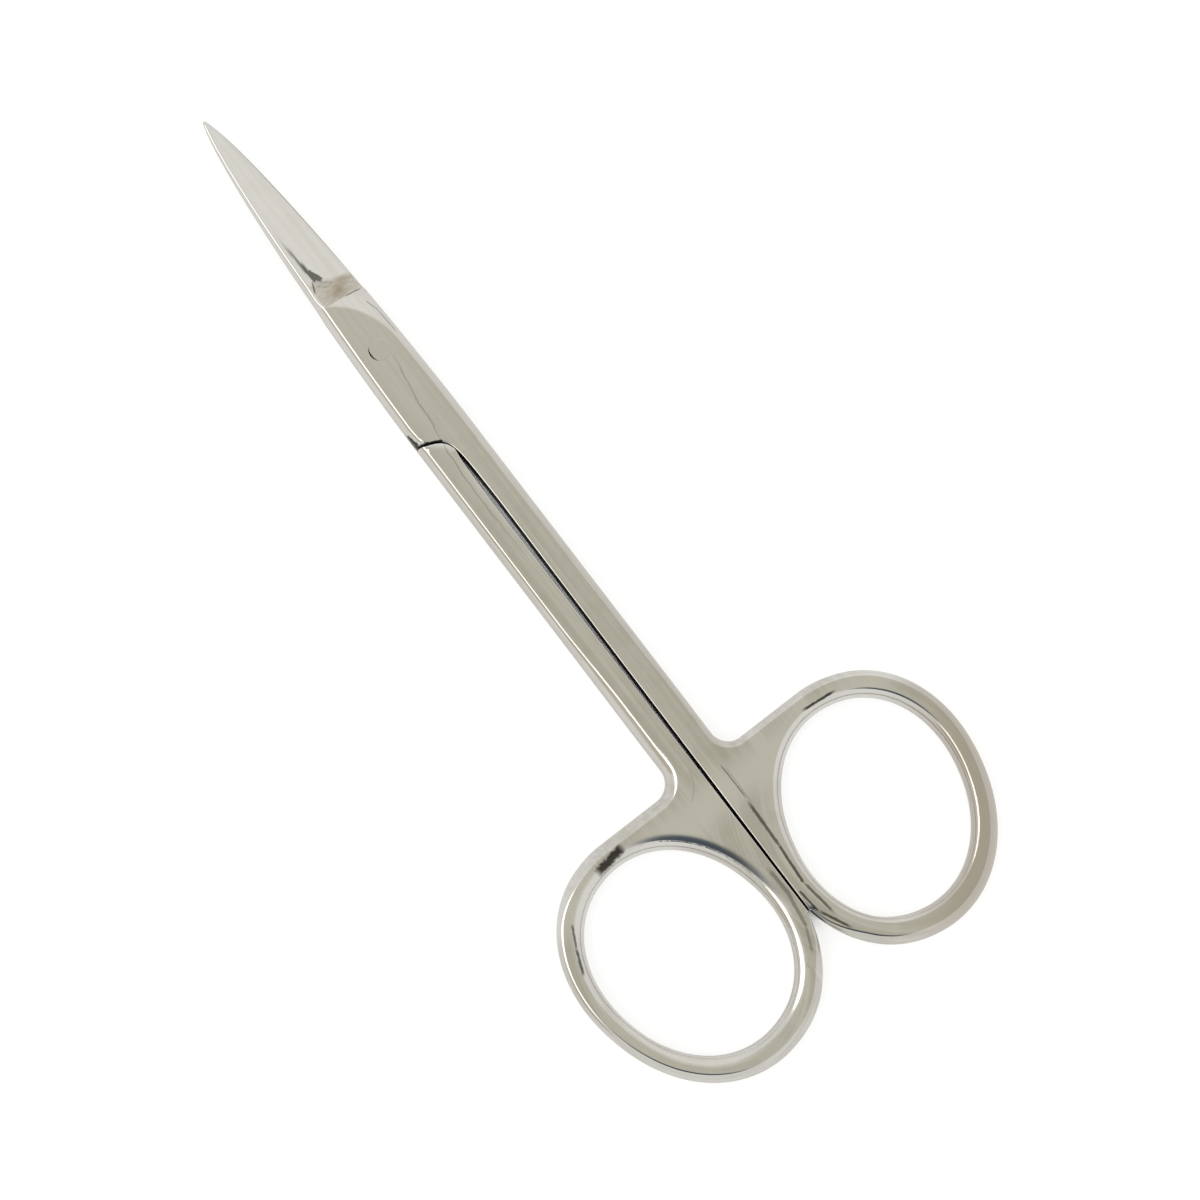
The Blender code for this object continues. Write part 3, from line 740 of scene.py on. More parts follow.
# %% Joining the sheets
def joined(name, sheets, turned_over, material):
    """One closed mesh from the sheets, in metres and in the scissors' frame. Each sheet is its points, its
    triangles and the normals at their corners."""
    first = np.cumsum([0] + [len(sheet[0]) for sheet in sheets])
    points = np.concatenate([sheet[0] for sheet in sheets])
    triangles = np.concatenate([sheet[1] + start for sheet, start in zip(sheets, first)])
    normals = np.concatenate([sheet[2] for sheet in sheets])
    if turned_over:
        points = points * np.array([1.0, -1.0, -1.0])
        normals = normals * np.array([1.0, -1.0, -1.0])
    places, kept, number = np.unique(points.round(4), axis=0, return_index=True, return_inverse=True)
    triangles = number.reshape(-1)[triangles]
    whole = (triangles != np.roll(triangles, 1, 1)).all(1)
    triangles, normals = triangles[whole], normals[whole]
    mesh = bpy.data.meshes.new(name)
    mesh.from_pydata((points[kept] + np.array(PIVOT)) / 1000, [], triangles.tolist())
    mesh.shade_smooth()
    mesh.normals_split_custom_set(normals.reshape(-1, 3))
    mark(mesh, points[kept], -1.0 if turned_over else 1.0)
    mesh.materials.append(material)
    piece = bpy.data.objects.new(name, mesh)
    bpy.context.scene.collection.objects.link(piece)
    edges = np.concatenate([triangles[:, [0, 1]], triangles[:, [1, 2]], triangles[:, [2, 0]]])
    edges = np.sort(edges, axis=1)
    uses = np.unique(edges, axis=0, return_counts=True)[1]
    print(name, len(places), "points,", len(triangles), "triangles, open edges:", int((uses != 2).sum()))
    return piece


# %% [markdown]
# ## Finish
#
# The steel is hand polished, bright but not perfect: fine scratches run along it, the wheel's hollow at the
# blade's root keeps a coarser brushing across, and a faint hairline wanders over the joint plate. The grain
# is a node group, so that each material can place it with its own direction and strength.

# %% Node helpers
def add_node(tree, kind, inputs=(), **settings):
    """A node with its settings, and with its inputs either linked or given a value."""
    node = tree.nodes.new(kind)
    for name, value in settings.items():
        setattr(node, name, value)
    for socket, value in inputs:
        if isinstance(value, bpy.types.NodeSocket):
            tree.links.new(value, node.inputs[socket])
        else:
            node.inputs[socket].default_value = value
    return node


def maths(tree, operation, first, second=0.0, clamp=False):
    """One sum on two numbers."""
    node = add_node(tree, "ShaderNodeMath", ((0, first), (1, second)), operation=operation, use_clamp=clamp)
    return node.outputs[0]


def times(tree, first, second):
    """Two numbers multiplied, as when one mask is laid over another."""
    return maths(tree, "MULTIPLY", first, second)


def plus(tree, first, second):
    """Two numbers added."""
    return maths(tree, "ADD", first, second)


def vectors(tree, operation, first, second=(0.0, 0.0, 0.0), output=0):
    """One sum on two vectors. A length or a dot product is at output 1."""
    node = add_node(tree, "ShaderNodeVectorMath", ((0, first), (1, second)), operation=operation)
    return node.outputs[output]


def axes(tree, vector):
    """The X, Y and Z of a vector."""
    return add_node(tree, "ShaderNodeSeparateXYZ", ((0, vector),)).outputs


def ramp(tree, value, low, high, start=0.0, end=1.0):
    """A smooth step from start to end as the value goes from low to high."""
    node = add_node(
        tree,
        "ShaderNodeMapRange",
        (("Value", value), ("From Min", low), ("From Max", high), ("To Min", start), ("To Max", end)),
        interpolation_type="SMOOTHSTEP",
    )
    return node.outputs["Result"]


def mixed(tree, share, first, second):
    """One colour turning into another."""
    node = add_node(tree, "ShaderNodeMix", ((0, share), (6, first), (7, second)), data_type="RGBA")
    return node.outputs[2]


def noise(tree, vector, scale, detail=2.0):
    """Cloudy noise between 0 and 1, with its scale in clouds per metre."""
    inputs = (("Vector", vector), ("Scale", scale), ("Detail", detail), ("Roughness", 0.6))
    return add_node(tree, "ShaderNodeTexNoise", inputs).outputs["Fac"]


def attribute(tree, name):
    """A mark that the mesh carries at its points."""
    return add_node(tree, "ShaderNodeAttribute", attribute_name=name).outputs["Fac"]


def new_group(name, vectors_in, numbers_in, numbers_out):
    """An empty node group with its named sockets, and the nodes at its two ends."""
    tree = bpy.data.node_groups.new(name, "ShaderNodeTree")
    for names, in_out, kind in (
        (vectors_in, "INPUT", "NodeSocketVector"),
        (numbers_in, "INPUT", "NodeSocketFloat"),
        (numbers_out, "OUTPUT", "NodeSocketFloat"),
    ):
        for socket in names:
            tree.interface.new_socket(socket, in_out=in_out, socket_type=kind)
    return tree, tree.nodes.new("NodeGroupInput").outputs, tree.nodes.new("NodeGroupOutput").inputs


# %% The grain group
COARSE_SHARE = 0.21
SCRATCH_LEVELS = (0.62, 0.72)


def grain_group():
    """Scratches along X: noise on coordinates that are squeezed along the length, and a few deeper ones."""
    numbers = ["Fineness", "Stretch"]
    tree, given, result = new_group("polishing grain", ["Vector"], numbers, ["Value", "Scratches"])
    stretch = add_node(tree, "ShaderNodeCombineXYZ", ((0, given["Stretch"]), (1, 1.0), (2, 1.0)))
    squeezed = vectors(tree, "MULTIPLY", given["Vector"], stretch.outputs[0])
    fine = noise(tree, squeezed, given["Fineness"], 3.0)
    coarse = noise(tree, squeezed, times(tree, given["Fineness"], COARSE_SHARE), 4.0)
    tree.links.new(plus(tree, times(tree, fine, 0.5), times(tree, coarse, 0.5)), result["Value"])
    tree.links.new(ramp(tree, coarse, *SCRATCH_LEVELS), result["Scratches"])
    return tree


grain = grain_group()


def place_grain(tree, vector, fineness, stretch):
    """The grain in a material: its value and its scratches."""
    inputs = (("Vector", vector), ("Fineness", fineness), ("Stretch", stretch))
    outputs = add_node(tree, "ShaderNodeGroup", inputs, node_tree=grain).outputs
    return outputs["Value"], outputs["Scratches"]


# %% The stroke group
STROKE_ROUGHNESS = 0.55
STROKE_NOISE = 2600.0
STROKE_EDGE = (0.24, 0.6, 1.0, 0.0)
STROKE_ENDS = (0.0, 0.16, 1.0, 0.0)


def stroke_group():
    """A stroke of painted dark reflection and shade: 1 near the straight line from Start to End over the plan,
    its edge rough.
    """
    tree, given, result = new_group("stroke", ["Vector", "Start", "End"], ["Width", "Taper"], ["Mask"])
    place, start, width = given["Vector"], given["Start"], given["Width"]
    plan = vectors(tree, "MULTIPLY", vectors(tree, "SUBTRACT", place, start), (1.0, 1.0, 0.0))
    along = vectors(tree, "SUBTRACT", given["End"], start)
    run = vectors(tree, "DOT_PRODUCT", plan, along, 1)
    share = maths(tree, "DIVIDE", run, vectors(tree, "DOT_PRODUCT", along, along, 1), clamp=True)
    scaled = add_node(tree, "ShaderNodeVectorMath", ((0, along), (3, share)), operation="SCALE").outputs[0]
    off = vectors(tree, "LENGTH", vectors(tree, "SUBTRACT", plan, scaled), output=1)
    rough = maths(tree, "SUBTRACT", noise(tree, place, STROKE_NOISE, 3.0), 0.5)
    off = plus(tree, off, times(tree, rough, times(tree, width, STROKE_ROUGHNESS)))
    mask = ramp(tree, maths(tree, "DIVIDE", off, width), *STROKE_EDGE)
    ends = ramp(tree, times(tree, share, maths(tree, "SUBTRACT", 1.0, share)), *STROKE_ENDS)
    fade = maths(tree, "SUBTRACT", 1.0, times(tree, ends, given["Taper"]))
    tree.links.new(times(tree, mask, fade), result["Mask"])
    return tree


stroke = stroke_group()


def strokes(tree, place, lines):
    """The darkest of several strokes. Each has its start and end in mm, its width, strength and taper."""
    darkest = 0.0
    for start, end, width, strength, taper in lines:
        inputs = (
            ("Vector", place),
            ("Start", (start[0] / 1000, start[1] / 1000, 0.0)),
            ("End", (end[0] / 1000, end[1] / 1000, 0.0)),
            ("Width", width / 1000),
            ("Taper", taper),
        )
        mask = add_node(tree, "ShaderNodeGroup", inputs, node_tree=stroke).outputs["Mask"]
        darkest = maths(tree, "MAXIMUM", times(tree, mask, strength), darkest)
    return darkest


# %% [markdown]
# ## The steel's colours and marks
#
# The steel is one metal in several states: bright where the wheel polished it, duller where it is worn,
# stained brown beside the grind. Painted shade darkens it in the gaps, and painted dark reflections lie on it
# beside the blade's hollow and in strokes. Each state is a colour, laid over the last one by a mask. A mask is
# mostly a smooth step, given as where it begins and ends, in metres where it is a place, and then its two
# values where they aren't 0 and 1.

# %% Colours
STEEL = (0.735, 0.72, 0.685, 1.0)
DULL_STEEL = (0.50, 0.475, 0.42, 1.0)
BRUSHED_STEEL = (0.50, 0.445, 0.37, 1.0)
BROWN_STEEL = (0.33, 0.265, 0.18, 1.0)
TARNISH = (0.53, 0.48, 0.42, 1.0)
DARK_REFLECTION_STEEL = (0.11, 0.108, 0.10, 1.0)
DARK_STEEL = (0.20, 0.195, 0.18, 1.0)
PAINTED_SHADE = (0.035, 0.030, 0.026, 1.0)
REFLECTION_AND_SHADE_STEEL = (0.055, 0.050, 0.044, 1.0)

# %% Dark strokes of painted reflection and shade
# Painted dark reflections and painted shade, laid on the top faces as strokes.
# Each stroke: start and end over the plan, width, strength, and how much its ends fade.
REFLECTION_AND_SHADE_STROKES = (
    ((30.27, -15.5), (29.61, -11.17), 1.15, 1.0, 1.0),
    ((32.67, -20.49), (35.33, -21.85), 0.3, 0.75, 1.0),
    ((34.85, -21.62), (37.94, -22.92), 0.34, 0.85, 1.0),
    ((29.9, 12.08), (30.35, 16.49), 0.34, 0.95, 1.0),
    ((28.88, 1.91), (33.81, 1.98), 0.2, 0.6, 1.0),
    ((29.37, 2.2), (34.61, 2.16), 0.1, 0.35, 1.0),
    ((33.6, 1.88), (40.3, 1.66), 0.4, 0.8, 1.0),
    ((39.77, 1.66), (44.01, 1.34), 0.34, 0.85, 0.0),
    ((44.01, 1.34), (48.72, 1.98), 0.34, 0.75, 0.8),
    ((44.8, 0.47), (47.39, 0.75), 0.28, 0.85, 0.0),
    ((47.39, 0.75), (51.11, 2.53), 0.32, 0.85, 0.8),
    ((27.48, -0.98), (29.05, -1.51), 0.09, 0.3, 0.5),
    ((29.05, -1.51), (30.42, -2.82), 0.09, 0.3, 0.5),
    ((-33.74, 0.55), (-33.52, 2.53), 0.12, 0.8, 0.8),
    ((-31.96, 2.02), (-30.62, 2.39), 0.1, 0.55, 0.0),
    ((-30.62, 2.39), (-27.6, 2.56), 0.1, 0.6, 0.5),
    ((-18.0, -3.2), (-16.5, -2.95), 0.4, 1.0, 0.1),
    ((-16.5, -2.95), (-16.21, -1.99), 0.4, 1.0, 0.0),
    ((-16.21, -1.99), (-15.56, -0.67), 0.34, 1.0, 0.0),
    ((-36.99, -1.31), (-35.92, -1.77), 0.18, 0.8, 0.3),
    ((-36.87, -1.15), (-35.74, 0.57), 0.4, 0.22, 1.0),
    ((-36.48, -1.34), (-35.58, -0.07), 0.3, 0.18, 1.0),
    ((40.8, -0.75), (44.6, -0.62), 0.5, 0.5, 0.7),
    ((44.2, -0.65), (47.8, -1.2), 0.45, 0.5, 0.0),
    ((47.8, -1.2), (50.6, -2.4), 0.36, 0.4, 0.9),
)

# %% The hairline
HAIRLINE_Y = (-0.029, -0.011, 0.00078, -0.00105)
HAIRLINE_EDGE = (0.00002, 0.00011, 1.0, 0.0)
HAIRLINE_BEGINS = (-0.0268, -0.0235)
HAIRLINE_ENDS = (-0.008, 0.004, 1.0, 0.0)
HAIRLINE_NOISE = 260.0
HAIRLINE_WOBBLE = 0.0009
HAIRLINE_STRENGTH = 0.42


def hairline(tree, place, x, y):
    """A faint line on the joint plate: its y falls smoothly from one side of the axis to the other."""
    wobble = maths(tree, "SUBTRACT", noise(tree, place, HAIRLINE_NOISE, 3.0), 0.5)
    off = maths(tree, "SUBTRACT", y, ramp(tree, x, *HAIRLINE_Y))
    off = plus(tree, off, times(tree, wobble, HAIRLINE_WOBBLE))
    line = ramp(tree, maths(tree, "ABSOLUTE", off), *HAIRLINE_EDGE)
    reach = times(tree, ramp(tree, x, *HAIRLINE_BEGINS), ramp(tree, x, *HAIRLINE_ENDS))
    return times(tree, times(tree, line, reach), HAIRLINE_STRENGTH)


# %% Wear, tarnish and painted shade on shut-in walls
LONG_GRAIN = (5200.0, 0.03)
CROSS_GRAIN = (5200.0, 0.07)
WIDE_GRAIN = (1500.0, 0.012)
CROSS_TURN = math.radians(82.0)
CLOUDS = 420.0
WEAR_BY_LINES = ((0.35, 0.65), 0.24)
WEAR_BY_WIDE_LINES = ((0.38, 0.62), 0.46)
WEAR_BY_CLOUDS = ((0.35, 0.7), 0.14)
SEAM_PAST_HEEL = 3.5
OFF_SEAM = (0.0004, 0.0035, 0.12, 1.0)
CALMER_TO_TIP = (-0.030, 0.0, 0.42, 1.0)
TARNISHED_SIDE = (0.6, 0.8, 0.0)
TARNISHED = (0.001, 0.010)
TARNISH_STRENGTH = 0.85
# From here to BEHIND_BOX, the masks place painted shade: in the gaps, and on the slot's walls.
CREVICE = (0.36, 0.72, 0.97, 0.0)
ABOVE_FLOOR = (0.0008, 0.0014)
UPRIGHT = (0.05, 0.3, 1.0, 0.0)
SHEET_SHARE = (0.0, 0.0018, 0.7, 0.0)
SHUT_IN = (0.86, 0.99, 1.0, 0.0)
BESIDE_SLOT = (0.0006, 0.0012, 1.0, 0.0)
BEHIND_BOX = (-0.018, -0.0165)


def wear(tree, place, plan, x, long_grain):
    """How dull the polish is, from lines and clouds, and a mask that is low at the seam before the ring,
    where the marks of one direction end and those of the other begin."""
    wide_grain = place_grain(tree, plan, *WIDE_GRAIN)[0]
    worn = 0.0
    for value, (levels, strength) in (
        (long_grain, WEAR_BY_LINES),
        (wide_grain, WEAR_BY_WIDE_LINES),
        (noise(tree, place, CLOUDS, 3.0), WEAR_BY_CLOUDS),
    ):
        worn = plus(tree, worn, times(tree, ramp(tree, value, *levels), strength))
    seam = (left[0] + SEAM_PAST_HEEL + PIVOT.x) / 1000
    off_seam = ramp(tree, maths(tree, "ABSOLUTE", maths(tree, "SUBTRACT", x, seam)), *OFF_SEAM)
    return times(tree, times(tree, worn, off_seam), ramp(tree, x, *CALMER_TO_TIP)), off_seam


def tarnish(tree, place):
    """The side of the upper ring that has yellowed: the place's run in that direction from its centre."""
    centre = ((ring_centre[0] + PIVOT.x) / 1000, ring_centre[1] / 1000, 0.0)
    run = vectors(tree, "DOT_PRODUCT", vectors(tree, "SUBTRACT", place, centre), TARNISHED_SIDE, 1)
    return times(tree, ramp(tree, run, *TARNISHED), TARNISH_STRENGTH)


def shut_in_places(tree, x, y, z, steep):
    """Painted shade in the gaps, and on the slot's walls where the sheet and the other half shut them in."""
    open_air = add_node(tree, "ShaderNodeAmbientOcclusion", (("Distance", 0.0016),), samples=6).outputs["AO"]
    crevice = times(tree, ramp(tree, open_air, *CREVICE), ramp(tree, z, *ABOVE_FLOOR))
    shut_in = ramp(tree, plus(tree, open_air, ramp(tree, z, *SHEET_SHARE)), *SHUT_IN)
    beside_slot = ramp(tree, maths(tree, "ABSOLUTE", y), *BESIDE_SLOT)
    slot_wall = times(tree, times(tree, steep, shut_in), beside_slot)
    return crevice, times(tree, slot_wall, ramp(tree, x, *BEHIND_BOX))


# %% The forging's steel
BRUSHING = (0.36, 0.62, 0.25, 1.0)
STAINS = 900.0
STAINED = (0.38, 0.6)
SCRATCH_STRENGTH = 0.06
ON_TOP = (0.0017, 0.0019)
ROUGHNESS = 0.085
ROUGHER_BY_GRAIN = 0.07
ROUGHER_BY_HOLLOW = 0.20
ROUGHER_BY_WALL = 0.4


def new_metal(name):
    """A material, its node tree, and the place on the piece in Object coordinates."""
    material = bpy.data.materials.new(name)
    material.use_nodes = True
    tree = material.node_tree
    return material, tree, tree.nodes.new("ShaderNodeTexCoord").outputs["Object"]


def finish_metal(tree, colour, rough, height, strength, distance):
    """A metal's colour, roughness and bump, linked to its shader."""
    shader = tree.nodes["Principled BSDF"]
    shader.inputs["Metallic"].default_value = 1.0
    inputs = (("Height", height), ("Strength", strength), ("Distance", distance))
    bump = add_node(tree, "ShaderNodeBump", inputs)
    for socket, value in (("Base Color", colour), ("Roughness", rough), ("Normal", bump.outputs[0])):
        tree.links.new(value, shader.inputs[socket])


def forged_steel():
    """Polished steel with long scratches, the brushed hollow, the hairline and dull marks, with painted dark
    reflections and painted shade in the gaps.
    """
    material, tree, place = new_metal("polished forging")
    x, y, z = axes(tree, place)
    plan = add_node(tree, "ShaderNodeAttribute", attribute_name="polish_way").outputs["Vector"]
    long_grain, scratches = place_grain(tree, plan, *LONG_GRAIN)
    inputs = (("Vector", place), ("Rotation", (0.0, 0.0, CROSS_TURN)))
    cross_way = add_node(tree, "ShaderNodeMapping", inputs)
    cross_grain = place_grain(tree, cross_way.outputs[0], *CROSS_GRAIN)[0]
    hollow = attribute(tree, "wheel_hollow")
    worn, off_seam = wear(tree, place, plan, x, long_grain)
    stain = times(tree, ramp(tree, noise(tree, place, STAINS), *STAINED), 0.3)
    brown = maths(tree, "MULTIPLY", attribute(tree, "brown_mark"), plus(tree, 0.55, stain), clamp=True)
    on_top = ramp(tree, z, *ON_TOP)
    normal = tree.nodes.new("ShaderNodeNewGeometry").outputs["Normal"]
    steep = ramp(tree, maths(tree, "ABSOLUTE", axes(tree, normal)[2]), *UPRIGHT)
    crevice, slot_wall = shut_in_places(tree, x, y, z, steep)
    colour = STEEL
    for share, layer in (
        (worn, DULL_STEEL),
        (times(tree, times(tree, scratches, off_seam), SCRATCH_STRENGTH), DARK_STEEL),
        (times(tree, hollow, ramp(tree, cross_grain, *BRUSHING)), BRUSHED_STEEL),
        (brown, BROWN_STEEL),
        # Painted dark reflection beside the blade's hollow, on the spine's side.
        (attribute(tree, "painted_dark_reflection"), DARK_REFLECTION_STEEL),
        (hairline(tree, place, x, y), DARK_STEEL),
        (times(tree, tarnish(tree, place), on_top), TARNISH),
        # Painted dark reflections and painted shade, as strokes on the top faces.
        (times(tree, strokes(tree, place, REFLECTION_AND_SHADE_STROKES), on_top), REFLECTION_AND_SHADE_STEEL),
        # Painted shade in the gaps and on the slot's walls.
        (crevice, PAINTED_SHADE),
        (slot_wall, PAINTED_SHADE),
    ):
        colour = mixed(tree, share, colour, layer)
    rough = ROUGHNESS
    rougher = ((long_grain, ROUGHER_BY_GRAIN), (hollow, ROUGHER_BY_HOLLOW), (steep, ROUGHER_BY_WALL))
    for value, more in rougher:
        rough = plus(tree, rough, times(tree, value, more))
    height = plus(tree, times(tree, long_grain, 0.35), times(tree, cross_grain, hollow))
    finish_metal(tree, colour, rough, height, 0.25, 0.00001)
    return material


# %% The screw's steel
RING_NOISE = 16000.0
SCREW_CLOUDS = 1400.0


def screw_steel():
    """Turned steel: rings about the pivot's axis, from noise on the distance to it."""
    material, tree, place = new_metal("turned screw")
    x, y, z = axes(tree, place)
    about = vectors(tree, "SUBTRACT", place, (PIVOT.x / 1000, 0.0, 0.0))
    radius = vectors(tree, "LENGTH", vectors(tree, "MULTIPLY", about, (1.0, 1.0, 0.0)), output=1)
    ring_place = add_node(tree, "ShaderNodeCombineXYZ", ((0, radius),)).outputs[0]
    rings = noise(tree, ring_place, RING_NOISE)
    dull = plus(tree, times(tree, rings, 0.25), times(tree, noise(tree, place, SCREW_CLOUDS, 3.0), 0.15))
    colour = mixed(tree, hairline(tree, place, x, y), mixed(tree, dull, STEEL, DULL_STEEL), DARK_STEEL)
    finish_metal(tree, colour, plus(tree, 0.1, times(tree, rings, 0.1)), rings, 0.3, 0.000008)
    return material


polished = forged_steel()
turned_steel = screw_steel()
print("materials:", polished.name, "and", turned_steel.name)

# %% [markdown]
# ## The two halves
#
# Both come from the same sheets. The upper half has a threaded hole; the lower half, turned over, has a plain
# hole with a recess for the screw's head.

# %% Making the halves
BORE = 1.19
RECESS = 2.1
RECESS_FLOOR = 0.72
opening_outline = inner_rim.path


def make_half(name, hole, turned_over):
    """The forging with a hole of the given radius in its far face."""
    mouth = circle(hole)
    bore = circle(BORE)
    far = cap([far_outline, opening_outline, mouth], [far_soft, far_crisp, inner_rim], True)
    near = cap([near_outline, opening_outline], [near_soft, near_crisp, inner_rim], False)
    sheets = [far, near, lap_face([lap_outline, bore])]
    sheets.append(wall(far_outline, face_height(far_outline, True)[0], LAP_Z))
    sheets.append(wall(near_outline, LAP_Z, -face_height(near_outline, False)[0]))
    far_rim = face_height(opening_outline, True)[0]
    near_rim = -face_height(opening_outline, False)[0]
    sheets.append(wall(opening_outline, far_rim, near_rim))
    mouth_height = face_height(mouth, True)[0]
    if hole > BORE:
        sheets.append(wall(mouth, mouth_height, RECESS_FLOOR))
        sheets.append(wall(bore, RECESS_FLOOR, LAP_Z))
        floor = np.column_stack([np.r_[mouth, bore], np.full(2 * len(mouth), RECESS_FLOOR)])
        ring = strip(len(mouth))
        sheets.append((floor, ring, np.tile([0.0, 0.0, 1.0], (len(floor), 1))[ring]))
    else:
        sheets.append(wall(mouth, mouth_height, LAP_Z))
    return joined(name, sheets, turned_over, polished)


upper = make_half("upper_forging", BORE, False)
lower = make_half("lower_forging", RECESS, True)
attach(upper, "upper")
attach(lower, "lower")
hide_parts("upper_half")
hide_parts("lower_half")

# %% [markdown]
# ## The pivot screw
#
# The screw is turned, so its surface is a profile carried round its axis. Its end was ground flush with the
# box and burnished, which closed the gap round it but for a thin dark arc on one side. Its head, on the
# underside, has a slot for a driver.

# %% Turning the screw
SCREW_RADIUS = 1.15
HEAD_RADIUS = 2.0
HEAD_BOTTOM = 0.08 - HALF_THICKNESS
HEAD_TOP = HEAD_BOTTOM + 0.75
HEAD_ROUNDING = 0.2
END_ROUNDING = 0.015
WIDENING_BEGINS = 1.1
WIDENING_ENDS = 1.3
SCREW_STEPS = 192
ARC_MIDDLE = math.radians(-91.0)
ARC_REACH = math.radians(50.0)
ARC_GAP = 0.17
CLOSED_GAP = 0.001


def screw_profile():
    """Radius and height from the ground end down to the middle of the head."""
    crown_middle = (HEAD_RADIUS - HEAD_ROUNDING, HEAD_BOTTOM + HEAD_ROUNDING)
    crown = arc(crown_middle, HEAD_ROUNDING, 0.0, -np.pi / 2, 12)
    flush = SCREW_RADIUS - END_ROUNDING
    end = arc((flush, HALF_THICKNESS - END_ROUNDING), END_ROUNDING, np.pi / 2, 0.0, 5)
    face = np.column_stack([np.linspace(0.0, flush, 8)[:-1], np.full(7, HALF_THICKNESS)])
    neck = np.array([[SCREW_RADIUS, WIDENING_BEGINS], [SCREW_RADIUS, HEAD_TOP], [HEAD_RADIUS, HEAD_TOP]])
    flat = np.column_stack([np.linspace(crown_middle[0], 0.0, 6)[1:], np.full(5, HEAD_BOTTOM)])
    return np.r_[face, end, neck, crown, flat]


def turned_screw():
    """The profile turned about Z. Near its ground end the radius grows to close the gap to the hole, except
    over an arc, where the gap follows a cosine."""
    profile = screw_profile()
    angle = 2 * np.pi * np.arange(SCREW_STEPS) / SCREW_STEPS
    off_arc = np.abs((angle - ARC_MIDDLE + np.pi) % (2 * np.pi) - np.pi)
    gap = ARC_GAP * np.where(off_arc < ARC_REACH, np.cos(off_arc * np.pi / 2 / ARC_REACH), 0.0)
    widening = BORE - CLOSED_GAP - gap - SCREW_RADIUS
    at_end = smoothstep(WIDENING_BEGINS, WIDENING_ENDS, profile[:, 1])
    at_end = at_end * smoothstep(0.5, SCREW_RADIUS, profile[:, 0])
    radius = profile[:, :1] + at_end[:, None] * widening[None]
    rings = np.stack(
        [radius * np.cos(angle), radius * np.sin(angle), np.broadcast_to(profile[:, 1:], radius.shape)], 2
    )
    points = np.r_[rings[0, :1], rings[1:-1].reshape(-1, 3), rings[-1, :1]]
    here = np.arange(SCREW_STEPS)
    after = (here + 1) % SCREW_STEPS
    row = 1 + SCREW_STEPS * np.arange(len(profile) - 3)[:, None]
    below = row + SCREW_STEPS
    sides = np.stack([row + here, below + here, below + after, row + after], 2).reshape(-1, 4)
    last = len(points) - 1
    end_row = last - SCREW_STEPS
    caps = np.r_[
        np.stack([np.zeros_like(here), 1 + here, 1 + after], 1),
        np.stack([np.full_like(here, last), end_row + after, end_row + here], 1),
    ]
    mesh = bpy.data.meshes.new("screw")
    mesh.from_pydata(points, [], sides.tolist() + caps.tolist())
    return mesh


# %% The driver's slot
DRIVER_SLOT = (0.5, 6.0, 0.64)
DRIVER_TURN = math.radians(35.0)
CRISP_ANGLE = math.radians(30.0)


def driver_slot():
    """The block that the driver's slot is cut with, turned on the spot."""
    corners = np.array([[x, y, z] for x in (-0.5, 0.5) for y in (-0.5, 0.5) for z in (-0.5, 0.5)])
    corners = corners * np.array(DRIVER_SLOT)
    cos, sin = math.cos(DRIVER_TURN), math.sin(DRIVER_TURN)
    x, y, z = corners.T
    spun = np.column_stack([x * cos - y * sin, x * sin + y * cos, z + HEAD_BOTTOM])
    faces = [(0, 1, 3, 2), (4, 6, 7, 5), (0, 4, 5, 1), (2, 3, 7, 6), (0, 2, 6, 4), (1, 5, 7, 3)]
    mesh = bpy.data.meshes.new("driver slot")
    mesh.from_pydata(spun, [], faces)
    return mesh


def make_screw():
    """The turned screw with its slot cut, set on the pivot."""
    blank = bpy.data.objects.new("blank", turned_screw())
    block = bpy.data.objects.new("block", driver_slot())
    for obj in (blank, block):
        bpy.context.scene.collection.objects.link(obj)
    slotting = blank.modifiers.new("slot", "BOOLEAN")
    slotting.object = block
    mesh = bpy.data.meshes.new_from_object(blank.evaluated_get(bpy.context.evaluated_depsgraph_get()))
    bpy.data.objects.remove(blank)
    bpy.data.objects.remove(block)
    mesh.transform(Matrix.Translation(PIVOT))
    mesh.transform(Matrix.Scale(0.001, 4))
    mesh.materials.clear()
    mesh.materials.append(turned_steel)
    mesh.shade_smooth()
    mesh.set_sharp_from_angle(angle=CRISP_ANGLE)
    piece = bpy.data.objects.new("slotted_screw", mesh)
    bpy.context.scene.collection.objects.link(piece)
    return piece


screw = make_screw()
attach(screw, "upper")
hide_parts("pivot_screw")
print("screw:", len(screw.data.polygons), "faces")

# %% [markdown]
# ## Floor, light and camera
#
# The scissors lie on a white sheet. The camera looks down on them from a third of a metre, with the tips at
# the upper left, and the room around them is white with a soft grey patch overhead.

# %% Floor
SHEET = (0.36, 0.36, 0.36, 1.0)
SHEET_SHADE_IN_SLOT = (0.012, 0.010, 0.008, 1.0)
SHEET_GLOW = 0.74
SHEET_MIRRORED_GLOW = 0.56
SHEET_SIZE = 2.0
OPEN_SHEET = (0.12, 0.28)
bpy.ops.mesh.primitive_plane_add(size=SHEET_SIZE, location=(0.0, 0.0, 0.0))
floor = bpy.context.object
floor.name = "floor"
paper = bpy.data.materials.new("white sheet")
paper.use_nodes = True
tree = paper.node_tree
sheet_shader = tree.nodes["Principled BSDF"]
sheet_shader.inputs["Roughness"].default_value = 0.9
sheet_shader.inputs["Specular IOR Level"].default_value = 0.0
sheet_shader.inputs["Emission Color"].default_value = (1.0, 1.0, 1.0, 1.0)
sheet_ray = tree.nodes.new("ShaderNodeLightPath")
seen = times(tree, sheet_ray.outputs["Is Camera Ray"], SHEET_GLOW)
mirrored = times(tree, sheet_ray.outputs["Is Glossy Ray"], SHEET_MIRRORED_GLOW)
